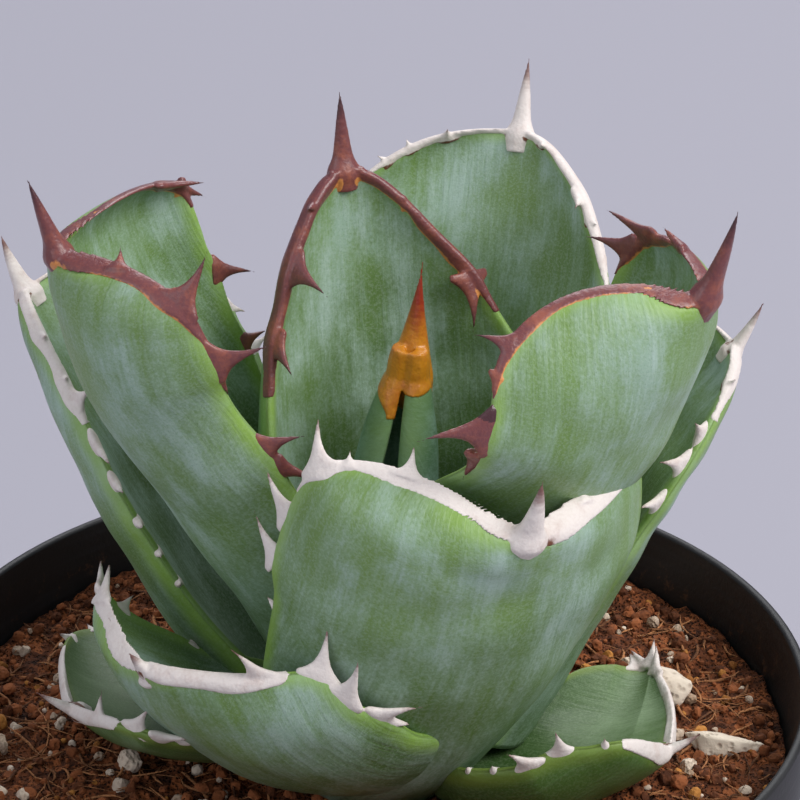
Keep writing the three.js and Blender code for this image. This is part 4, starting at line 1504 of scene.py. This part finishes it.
@dataclass
class Pot:
    """The thin nursery pot."""

    height: float = 93.0
    rim_radius: float = 52.5
    collar_radius: float = 51.9
    collar_height: float = 12.0
    neck_radius: float = 50.4
    foot_radius: float = 37.0
    wall: float = 1.2
    floor: float = 1.8
    drain_radius: float = 4.0
    drain_circle: float = 22.0
    drains: int = 5
    sides: int = 160

    def profile(self) -> list[tuple[float, float]]:
        """Outline of the wall, from the underside up the outside, over the rim and down to the floor.

        Returns:
            Radius and height of each of its points.
        """
        shoulder = self.height - self.collar_height
        lip, half = 0.45, self.wall / 2
        turn = [math.radians(a) for a in range(0, 181, 20)]
        rim = [
            (self.rim_radius - half + half * math.cos(a), self.height - lip + lip * math.sin(a))
            for a in turn
        ]
        wall_steps = [i / 10 for i in range(1, 10)]
        rise = self.neck_radius - self.foot_radius
        outside = [(self.foot_radius + rise * s, 1 + (shoulder - 1) * s) for s in wall_steps]
        inside = [(x - self.wall, z) for x, z in reversed(outside)]
        return [
            (self.foot_radius - 1.2, 0.0),
            (self.foot_radius - 0.4, 0.2),
            (self.foot_radius, 1.0),
            *outside,
            (self.neck_radius, shoulder - 0.3),
            (self.neck_radius + 0.1, shoulder),
            (self.collar_radius - 0.2, shoulder + 0.5),
            (self.collar_radius, shoulder + 1.1),
            *rim,
            (self.rim_radius - self.wall - 0.1, self.height - 3),
            (self.neck_radius - self.wall + 0.2, shoulder + 0.3),
            (self.neck_radius - self.wall, shoulder - 1),
            *inside,
            (self.foot_radius - self.wall, self.floor + 0.6),
            (self.foot_radius - self.wall - 0.6, self.floor),
        ]

    def inside(self, z: float) -> float:
        """Inner radius of the wall.

        Args:
            z: height above the underside.

        Returns:
            The radius there.
        """
        shoulder = self.height - self.collar_height
        foot, neck = self.foot_radius - self.wall, self.neck_radius - self.wall
        if z < shoulder:
            return foot + (neck - foot) * (z - self.floor) / (shoulder - self.floor)
        return neck + (self.rim_radius - self.wall - neck) * (z - shoulder) / self.collar_height

    def mesh(self) -> bpy.types.Mesh:
        """Turn the outline round the axis and pierce the drain holes.

        Returns:
            The pot's mesh.
        """
        angle = np.linspace(0, 2 * math.pi, self.sides, endpoint=False)
        rings = np.array([
            np.stack([r * np.cos(angle), r * np.sin(angle), np.full(angle.shape, z)], axis=1)
            for r, z in self.profile()
        ])
        stock = Stock()
        stock.tube(rings)
        mesh = stock.mesh("nursery_pot")
        turn_outwards(mesh)
        body = bpy.data.objects.new("pot_body", mesh)
        bpy.context.scene.collection.objects.link(body)
        punch = Stock()
        ring = np.linspace(0, 2 * math.pi, 40, endpoint=False)
        below, above = -3.0, 6.0
        for i in range(self.drains):
            way = 2 * math.pi * (i + 0.5) / self.drains
            x = self.drain_circle * math.cos(way) + self.drain_radius * np.cos(ring)
            y = self.drain_circle * math.sin(way) + self.drain_radius * np.sin(ring)
            levels = [np.stack([x, y, np.full(ring.shape, z)], axis=1) for z in (below, above)]
            punch.tube(np.array(levels))
        tool = bpy.data.objects.new("drain_punch", punch.mesh("drain_punch"))
        turn_outwards(tool.data)
        bpy.context.scene.collection.objects.link(tool)
        cut = body.modifiers.new("drains", "BOOLEAN")
        cut.operation, cut.object, cut.solver = "DIFFERENCE", tool, "EXACT"
        ready = body.evaluated_get(bpy.context.evaluated_depsgraph_get())
        made = bpy.data.meshes.new_from_object(ready)
        bpy.data.objects.remove(body)
        bpy.data.objects.remove(tool)
        return made

    def paint(self, effects: Effects) -> bpy.types.Material:
        """Matt black plastic with soil dust on its inner wall.

        Args:
            effects: the shared effects.

        Returns:
            The material.
        """
        paint = Paint("black_nursery_plastic")
        tree = paint.tree
        spot = paint.metres()
        parts = add_node(tree, "ShaderNodeSeparateXYZ", {0: spot})
        dust = effects.use(
            tree, effects.mottle,
            {"Flow": stretch(tree, spot, PER_METRE), "Scale": 0.35, "Cover": 0.34, "Break": 0.5},
        ).outputs["Mask"]
        collar_foot, dust_starts, dust_full, dust_none = 0.0812, 0.0822, 0.086, 0.0915
        low = ease(tree, parts.outputs["Z"], dust_none, dust_full)
        low = calc(tree, "MULTIPLY", low, ease(tree, parts.outputs["Z"], collar_foot, dust_starts))
        reach = add_node(
            tree, "ShaderNodeVectorMath", {0: stretch(tree, spot, (1, 1, 0))}, operation="LENGTH"
        ).outputs["Value"]
        outside, inside = 0.0517, 0.0509
        inner = ease(tree, reach, outside, inside)
        dirty = calc(tree, "MULTIPLY", calc(tree, "MULTIPLY", dust, low), inner)
        round_the_wall = (60, 60, 1400)
        scuff = noise(tree, stretch(tree, spot, round_the_wall), 1.0, 3.0, 0.6)
        black = blend(tree, ease(tree, scuff, 0.4, 0.75), srgb(22, 22, 23), srgb(33, 33, 35))
        colour = blend(tree, calc(tree, "MULTIPLY", dirty, 0.7), black, srgb(92, 62, 42))
        paint.set(Base_Color=colour, Specular_IOR_Level=0.45)
        paint.set(Roughness=calc(tree, "MULTIPLY_ADD", scuff, 0.25, 0.38))
        paint.bump(noise(tree, spot, 1800.0, 2.0, 0.6), 0.00005, 0.7)
        return paint.material

    def build(self, effects: Effects) -> None:
        """Make the pot.

        Args:
            effects: the shared effects.
        """
        piece = place("nursery_pot", self.mesh(), self.paint(effects))
        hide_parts("pot")


class Grit(Enum):
    """Kinds of loose grain on the soil."""

    PUMICE = "pumice_grains"
    OCHRE = "ochre_grains"
    CRUMB = "coir_crumbs"


@dataclass(frozen=True)
class GritKind:
    """How many grains of a kind there are, how big, what colour and below what size they are plainer."""

    kind: Grit
    count: int
    smallest: float
    largest: float
    light: tuple[float, float, float, float]
    dark: tuple[float, float, float, float]
    finer: int = 2
    plain: float = 0.0


GRITS = (
    GritKind(Grit.PUMICE, 330, 0.5, 2.0, srgb(222, 204, 184), srgb(158, 132, 108), 3, 1.0),
    GritKind(Grit.OCHRE, 260, 0.45, 1.4, srgb(186, 126, 62), srgb(128, 78, 36)),
    GritKind(Grit.CRUMB, 3600, 0.35, 1.25, srgb(150, 88, 52), srgb(70, 38, 22), 2, 0.6),
)
LUMPS = (
    ((-33.0, -26.0), (4.6, 3.6, 2.6), 20.0),
    ((36.0, 8.0), (3.6, 3.0, 2.6), -15.0),
    ((29.0, 32.0), (2.8, 2.4, 2.2), 50.0),
    ((-20.0, 37.0), (3.2, 2.6, 2.2), 70.0),
    ((5.0, -42.0), (2.6, 2.2, 1.8), 10.0),
    ((42.0, -4.0), (5.2, 1.5, 1.3), -12.0),
)


@dataclass
class Soil:
    """Coco fibre with pumice, heaped a little round the stem."""

    pot: Pot
    leaves: BVHTree
    level: float = -7.4
    relief: float = 0.5
    rise: float = 1.2
    rings: int = 120
    sides: int = 260
    wall_gap: float = 0.4
    leaf_gap: float = 0.4
    fibres: int = 1300
    short_fibre: tuple[float, float] = (2.0, 7.0)
    long_fibre: tuple[float, float] = (7.0, 13.0)
    short_share: float = 0.85
    fibre_width: tuple[float, float] = (0.07, 0.26)
    shapes: int = 12
    flats: int = 9
    flat_reach: tuple[float, float] = (0.55, 0.9)
    seed: int = 6417

    def top(self, x: Array, y: Array) -> Array:
        """Height of the soil before its crumbs.

        Args:
            x: first coordinate.
            y: second coordinate.

        Returns:
            The height above the pot's underside.
        """
        wave = np.sin(x * 0.31 + 1.3) * np.cos(y * 0.27 - 0.4) + 0.6 * np.sin(x * 0.11 - y * 0.4)
        away = np.hypot(x - PLANT_AXIS[0], y - PLANT_AXIS[1]) / 30
        return self.pot.height + self.level + self.relief * wave * 0.6 + self.rise * np.exp(-(away**2)) - 0.6

    def crumbs(self, x: Array, y: Array) -> Array:
        """Fine roughness added to the soil's top.

        Args:
            x: first coordinate.
            y: second coordinate.

        Returns:
            Its height at each point.
        """
        total = np.zeros(np.broadcast(x, y).shape)
        for step, (wave, height) in enumerate(((6.0, 0.45), (2.2, 0.3), (1.0, 0.16))):
            total = total + ripple(x, y, self.seed + step, wave) * height
        return total

    def ceiling(self, x: float, y: float) -> float:
        """Height of the lowest leaf over a spot, or far up where there is none.

        Args:
            x: first coordinate.
            y: second coordinate.

        Returns:
            The height above the pot's underside.
        """
        start = Vector((x, y, self.pot.height - 30)) * MM
        hit = self.leaves.ray_cast(start, Vector((0, 0, 1)))
        return self.pot.height * 9 if hit[0] is None else hit[0].z / MM

    def bed_mesh(self) -> bpy.types.Mesh:
        """One closed body of soil from the pot's floor to its crumbly top, which dips under the leaves.

        Returns:
            The mesh.
        """
        angle = np.linspace(0, 2 * math.pi, self.sides, endpoint=False)
        shoulder = self.pot.height - self.pot.collar_height
        rings = []
        for z in (self.pot.floor + 0.4, shoulder, self.pot.height + self.level - 3):
            r = self.pot.inside(z) - self.wall_gap
            rings.append(np.stack([r * np.cos(angle), r * np.sin(angle), np.full(angle.shape, z)], axis=1))
        widest = self.pot.inside(self.pot.height + self.level) - 0.25
        for s in np.linspace(1, 0.01, self.rings):
            x, y = widest * s * np.cos(angle), widest * s * np.sin(angle)
            over = np.array([self.ceiling(px, py) for px, py in zip(x, y, strict=True)])
            z = np.minimum(self.top(x, y) + self.crumbs(x, y), over - self.leaf_gap)
            rings.append(np.stack([x, y, z], axis=1))
        stock = Stock()
        stock.tube(np.array(rings))
        mesh = stock.mesh("soil_bed")
        turn_outwards(mesh)
        return mesh

    def clear(self, x: float, y: float, z: float, room: float) -> bool:
        """Whether a spot has room around it and no leaf over it.

        Args:
            x: first coordinate.
            y: second coordinate.
            z: height.
            room: how much room it needs.

        Returns:
            True where it is clear.
        """
        if self.ceiling(x, y) < z + room:
            return False
        return self.leaves.find_nearest(Vector((x, y, z)) * MM, room * MM)[0] is None

    def free_spot(self, draw: np.random.Generator, size: float) -> tuple[float, float, float] | None:
        """Pick a place on the soil clear of the leaves and the wall.

        Args:
            draw: the random draw.
            size: radius of the grain.

        Returns:
            The place, or None where it would meet a leaf.
        """
        reach = (self.pot.inside(self.pot.height + self.level) - size - 0.5) * math.sqrt(draw.uniform())
        angle = draw.uniform(0, 2 * math.pi)
        x, y = reach * math.cos(angle), reach * math.sin(angle)
        z = float(self.top(np.array(x), np.array(y)) + self.crumbs(np.array(x), np.array(y)))
        return (x, y, z) if self.clear(x, y, z, size * 1.3 + 0.2) else None

    def hew(self, finer: int, cuts: list[tuple[Array, float]], pattern: int) -> Shape:
        """Cut a ball to an angular grain.

        Args:
            finer: how often the ball is split.
            cuts: direction and distance of each flat.
            pattern: picks the small bumps.

        Returns:
            Its points at size one, and its faces.
        """
        flatness, bump_height = 0.85, 0.07
        ball = bmesh.new()
        bmesh.ops.create_icosphere(ball, subdivisions=finer, radius=1.0)
        points = np.array([v.co for v in ball.verts])
        faces = [tuple(v.index for v in f.verts) for f in ball.faces]
        ball.free()
        for way, reach in cuts:
            over = np.maximum(points @ way - reach, 0)
            points = points - over[:, None] * way * flatness
        x, y, z = points.T
        bumps = ripple(x * 3 + z, y * 3 - z, pattern, 1.6)
        return points * (1 + bump_height * bumps[:, None]), faces

    def rock(self, draw: np.random.Generator, finer: int) -> tuple[Shape, Shape]:
        """Draw one grain, as a fine form and as one with fewer faces.

        Args:
            draw: the random draw.
            finer: how often the finer one's ball is split.

        Returns:
            The fine form and the plainer one.
        """
        cuts = [(unit(draw.normal(size=3)), draw.uniform(*self.flat_reach)) for _ in range(self.flats)]
        pattern = int(draw.integers(1e6))
        return self.hew(finer, cuts, pattern), self.hew(finer - 1, cuts, pattern)

    def scatter(self, grit: GritKind) -> bpy.types.Mesh:
        """Lay the grains of one kind on the soil.

        Args:
            grit: the kind.

        Returns:
            All its grains as one mesh.
        """
        mostly_small, sits_up = 2.4, 0.25
        draw = np.random.default_rng(self.seed + grit.count)
        shapes = [self.rock(draw, grit.finer) for _ in range(self.shapes)]
        stock = Stock()
        tints: list[Array] = []
        for _ in range(grit.count):
            size = grit.smallest + (grit.largest - grit.smallest) * draw.uniform() ** mostly_small
            spot = self.free_spot(draw, size)
            points, faces = shapes[int(draw.integers(len(shapes)))][int(size < grit.plain)]
            turn, squash = draw.uniform(0, 2 * math.pi), draw.uniform(0.6, 1.0, 3)
            tint = draw.uniform()
            if spot is None:
                continue
            tints.append(np.full(len(points), tint))
            bent = points * squash * size
            spun = np.stack([
                bent[:, 0] * math.cos(turn) - bent[:, 1] * math.sin(turn),
                bent[:, 0] * math.sin(turn) + bent[:, 1] * math.cos(turn),
                bent[:, 2],
            ], axis=1)
            stock.add(spun + np.array(spot) + (0, 0, size * sits_up), faces)
        mesh = stock.mesh(grit.kind.value)
        turn_outwards(mesh)
        store(mesh, "tint", np.concatenate(tints))
        return mesh

    def lump_mesh(self) -> bpy.types.Mesh:
        """The larger pumice lumps bedded in the soil.

        Returns:
            The mesh, with the tint its material reads.
        """
        allowance, roughness, sits_up = 1.1, 0.035, 0.45
        draw = np.random.default_rng(self.seed + 9)
        stock = Stock()
        for (x, y), size, turn in LUMPS:
            points, faces = self.rock(draw, 4)[0]
            points = points * np.array(size) * allowance
            px, py, pz = points.T
            rough = ripple(px + pz, py - pz, int(draw.integers(1e6)), 1.5)
            points = points * (1 + roughness * rough[:, None])
            a = math.radians(turn)
            spun = np.stack([
                points[:, 0] * math.cos(a) - points[:, 1] * math.sin(a),
                points[:, 0] * math.sin(a) + points[:, 1] * math.cos(a),
                points[:, 2],
            ], axis=1)
            z = float(self.top(np.array(x), np.array(y))) + size[2] * sits_up
            stock.add(spun + np.array([x, y, z]), faces)
        mesh = stock.mesh("pumice_lumps")
        turn_outwards(mesh)
        store(mesh, "tint", np.full(len(mesh.vertices), 0.8))
        return mesh

    def fibre_mesh(self) -> bpy.types.Mesh:
        """Short bent coco fibres and slivers lying on the soil.

        Returns:
            The mesh, with the tint its material reads.
        """
        draw = np.random.default_rng(self.seed + 4)
        stock = Stock()
        tints: list[Array] = []
        share = np.linspace(-0.5, 0.5, 6)
        for _ in range(self.fibres):
            if draw.uniform() < self.short_share:
                length = draw.uniform(*self.short_fibre)
            else:
                length = draw.uniform(*self.long_fibre)
            wide = draw.uniform(*self.fibre_width)
            spot = self.free_spot(draw, 1.0)
            turn, bow, tilt, tint = draw.uniform(-1, 1, 4)
            if spot is None:
                continue
            x, y, _z = spot
            way = np.array([math.cos(turn * math.pi), math.sin(turn * math.pi), 0.0])
            cross = np.array([-way[1], way[0], 0.0])
            line = np.array([x, y, 0.0]) + way * (share * length)[:, None] + cross * (
                bow * length * 0.5 * (share**2)[:, None] * 2
            )
            reach = np.hypot(line[:, 0], line[:, 1])
            if reach.max() > self.pot.inside(self.pot.height + self.level) - 0.8:
                continue
            line[:, 2] = self.top(line[:, 0], line[:, 1]) + self.crumbs(line[:, 0], line[:, 1]) + 0.15
            line[:, 2] = line[:, 2] * 0.5 + line[:, 2].mean() * 0.5 + share * tilt * length * 0.16 + 0.25
            if not all(self.clear(*point, 0.4) for point in line.tolist()):
                continue
            thin = wide * (1 - (2 * np.abs(share)) ** 3 * 0.7)
            corners = [(1, 0), (0, 1), (-1, 0), (0, -1)]
            rings = np.stack([
                line + cross * (thin * cx)[:, None] + np.array([0, 0, 1.0]) * (thin * 0.6 * cz)[:, None]
                for cx, cz in corners
            ], axis=1)
            stock.tube(rings)
            tints.append(np.full(rings.shape[0] * rings.shape[1], (tint + 1) / 2))
        mesh = stock.mesh("coir_fibres")
        turn_outwards(mesh)
        store(mesh, "tint", np.concatenate(tints))
        return mesh

    def grain_paint(
        self, name: str, light: tuple, dark: tuple, effects: Effects, pits: float
    ) -> bpy.types.Material:
        """A dry grain's material.

        Args:
            name: the material's name.
            light: its lightest colour.
            dark: its darkest colour.
            effects: the shared effects.
            pits: how many pits there are in a metre.

        Returns:
            The material.
        """
        paint = Paint(name)
        tree = paint.tree
        spot = paint.metres()
        tint = attribute(tree, "tint")
        cells = effects.use(tree, effects.grains, {"Vector": spot, "Scale": pits})
        cloud = noise(tree, spot, 700.0, 4.0, 0.65)
        share = calc(tree, "MULTIPLY_ADD", cloud, 0.7, calc(tree, "MULTIPLY", tint, 0.6), clamp=True)
        colour = blend(tree, ease(tree, share, 0.25, 0.85), dark, light)
        # Painted shade: the pits are darkened towards the dark colour.
        pit = calc(tree, "SUBTRACT", 1.0, cells.outputs["Height"])
        colour = blend(tree, calc(tree, "MULTIPLY", pit, 0.35), colour, dark)
        paint.set(Base_Color=colour, Roughness=0.92, Specular_IOR_Level=0.3)
        height = calc(tree, "MULTIPLY_ADD", cells.outputs["Height"], 0.5, calc(tree, "MULTIPLY", cloud, 0.5))
        paint.bump(height, 0.0003, 1.0)
        return paint.material

    def bed_paint(self, effects: Effects) -> bpy.types.Material:
        """Red-brown crumbly coco fibre, darkened as painted shade in its fine pits.

        Args:
            effects: the shared effects.

        Returns:
            The material.
        """
        paint = Paint("coir_soil")
        tree = paint.tree
        spot = paint.metres()
        cells = effects.use(tree, effects.grains, {"Vector": spot, "Scale": 850.0})
        fine = effects.use(tree, effects.grains, {"Vector": spot, "Scale": 2300.0})
        cloud = noise(tree, spot, 260.0, 5.0, 0.65)
        colour = blend(tree, ease(tree, cloud, 0.3, 0.7), srgb(48, 25, 15), srgb(124, 70, 40))
        colour = blend(
            tree, calc(tree, "MULTIPLY", ease(tree, cells.outputs["Tint"], 0.6, 0.95), 0.7),
            colour, srgb(158, 92, 52),
        )
        # Painted shade: the fine pits between the crumbs are darkened almost to black.
        dark = calc(tree, "SUBTRACT", 1.0, fine.outputs["Height"])
        colour = blend(tree, calc(tree, "MULTIPLY", dark, 0.5), colour, srgb(24, 13, 9))
        paint.set(Base_Color=colour, Roughness=0.95, Specular_IOR_Level=0.25)
        height = calc(tree, "MULTIPLY_ADD", cells.outputs["Height"], 0.6, fine.outputs["Height"])
        paint.bump(height, 0.0006, 1.0)
        return paint.material

    def build(self, effects: Effects) -> None:
        """Make the soil and what lies on it.

        Args:
            effects: the shared effects.
        """
        bed = place("soil_bed", self.bed_mesh(), self.bed_paint(effects))
        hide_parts("soil")
        for grit in GRITS:
            paint = self.grain_paint(grit.kind.value, grit.light, grit.dark, effects, 1500.0)
            grains = place(grit.kind.value, self.scatter(grit), paint)
            grains.data.polygons.foreach_set("use_smooth", np.zeros(len(grains.data.polygons), bool))
        chalk = self.grain_paint("pumice_lump", srgb(222, 208, 190), srgb(132, 104, 80), effects, 1100.0)
        place("pumice_lumps", self.lump_mesh(), chalk)
        straw = self.grain_paint("coir_fibre", srgb(176, 120, 78), srgb(70, 40, 24), effects, 2500.0)
        place("coir_fibres", self.fibre_mesh(), straw)


@dataclass
class Studio:
    """Floor, lights and the camera at the photograph's angle."""

    rim: float
    lens: float = 168.4
    eye: tuple[float, float, float] = (4.35, -381.0, 222.2)
    look_down: float = 26.05
    aim: tuple[float, float, float] = (0.0, 0.0, 0.11)

    def floor(self) -> None:
        """Lay a large pale floor that turns up far behind."""
        side, back, curve, steps = 4.0, 1.2, 1.2, 24
        line = [(-side, 0.0), (back, 0.0)]
        for i in range(1, steps + 1):
            a = math.radians(90 * i / steps)
            line.append((back + curve * math.sin(a), curve * (1 - math.cos(a))))
        line.append((back + curve, side))
        points = [(x, y, z) for y, z in line for x in (-side, side)]
        faces = [(2 * i, 2 * i + 1, 2 * i + 3, 2 * i + 2) for i in range(len(line) - 1)]
        mesh = bpy.data.meshes.new("studio_floor")
        mesh.from_pydata(points, [], faces)
        floor = bpy.data.objects.new("studio_floor", mesh)
        bpy.context.scene.collection.objects.link(floor)
        paint = Paint("pale_floor")
        paint.set(Base_Color=srgb(166, 164, 174), Roughness=0.85, Specular_IOR_Level=0.1)
        mesh.materials.append(paint.material)
        mesh.polygons.foreach_set("use_smooth", np.ones(len(mesh.polygons), bool))

    def lamp(self, name: str, spot: tuple, size: float, power: float, colour: tuple) -> None:
        """Hang a soft square light.

        Args:
            name: the light's name.
            spot: where it hangs, in metres.
            size: its side.
            power: its power in watts.
            colour: its colour.
        """
        data = bpy.data.lights.new(name, "AREA")
        data.shape, data.size, data.energy, data.color = "SQUARE", size, power, colour
        lamp = bpy.data.objects.new(name, data)
        lamp.location = spot
        aim = Vector(self.aim) - Vector(spot)
        lamp.rotation_euler = aim.to_track_quat("-Z", "Y").to_euler()
        bpy.context.scene.collection.objects.link(lamp)

    def lights(self) -> None:
        """Hang the lights and set the sky."""
        self.lamp("key_light", (0.75, -0.35, 0.95), 0.7, 13.0, (1.0, 0.99, 0.97))
        self.lamp("fill_light", (-0.9, -0.6, 0.7), 0.9, 3.2, (0.93, 0.96, 1.0))
        self.lamp("back_light", (0.1, 0.95, 0.9), 0.8, 7.0, (0.96, 0.98, 1.0))
        world = bpy.data.worlds.new("studio_sky")
        world.use_nodes = True
        sky = world.node_tree.nodes["Background"]
        sky.inputs["Color"].default_value = (0.86, 0.89, 1.0, 1.0)
        sky.inputs["Strength"].default_value = 0.5
        bpy.context.scene.world = world

    def camera(self) -> None:
        """Stand the camera where the photograph was taken."""
        data = bpy.data.cameras.new("photo_camera")
        data.lens, data.sensor_width = self.lens, 36.0
        data.clip_start, data.clip_end = 0.01, 20.0
        camera = bpy.data.objects.new("photo_camera", data)
        x, y, z = self.eye
        camera.location = (x * MM, y * MM, self.rim + z * MM)
        camera.rotation_euler = (math.radians(90 - self.look_down), 0.0, 0.0)
        bpy.context.scene.collection.objects.link(camera)
        bpy.context.scene.camera = camera

    def build(self) -> None:
        """Set the whole studio up."""
        self.floor()
        self.lights()
        self.camera()
        bpy.context.scene.view_settings.view_transform = "Standard"


def stem_paint(effects: Effects) -> bpy.types.Material:
    """Dry pale fibres of the short stem.

    Args:
        effects: the shared effects.

    Returns:
        The material.
    """
    paint = Paint("stem_fibre")
    tree = paint.tree
    spot = paint.millimetres()
    streak = effects.use(tree, effects.streaks, {"Flow": spot, "Fineness": 1.4}).outputs["Mask"]
    paint.set(Base_Color=blend(tree, streak, srgb(92, 84, 48), srgb(150, 138, 92)), Roughness=0.85)
    paint.bump(streak, 0.0003, 0.8)
    return paint.material


def leaf_tree(blades: list[bpy.types.Object]) -> BVHTree:
    """Gather the blades for finding what is near them.

    Args:
        blades: the blades' objects.

    Returns:
        A search tree of their faces.
    """
    points: list[Vector] = []
    faces: list[tuple[int, ...]] = []
    for blade in blades:
        first = len(points)
        points.extend(v.co.copy() for v in blade.data.vertices)
        faces.extend(tuple(i + first for i in p.vertices) for p in blade.data.polygons)
    return BVHTree.FromPolygons(points, faces)


def main() -> None:
    """Build every sub-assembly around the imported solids."""
    logging.basicConfig(level=logging.INFO, format="%(name)s %(message)s")
    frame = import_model()
    effects = Effects()
    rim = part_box("pot")[1].z
    Studio(rim).build()
    skins = {cover: finish.paint(effects) for cover, finish in BLADE_FINISHES.items()}
    horns = {age: finish.paint(effects) for age, finish in HORN_FINISHES.items()}
    blades = []
    for form in LEAVES:
        blades.append(Leaf(form).build(skins, horns))
    pot = Pot()
    pot.build(effects)
    Soil(pot, leaf_tree(blades)).build(effects)
    stem = frame["nodes"]["stem"]
    stem.data.materials.clear()
    stem.data.materials.append(stem_paint(effects))


if __name__ == "__main__":
    main()
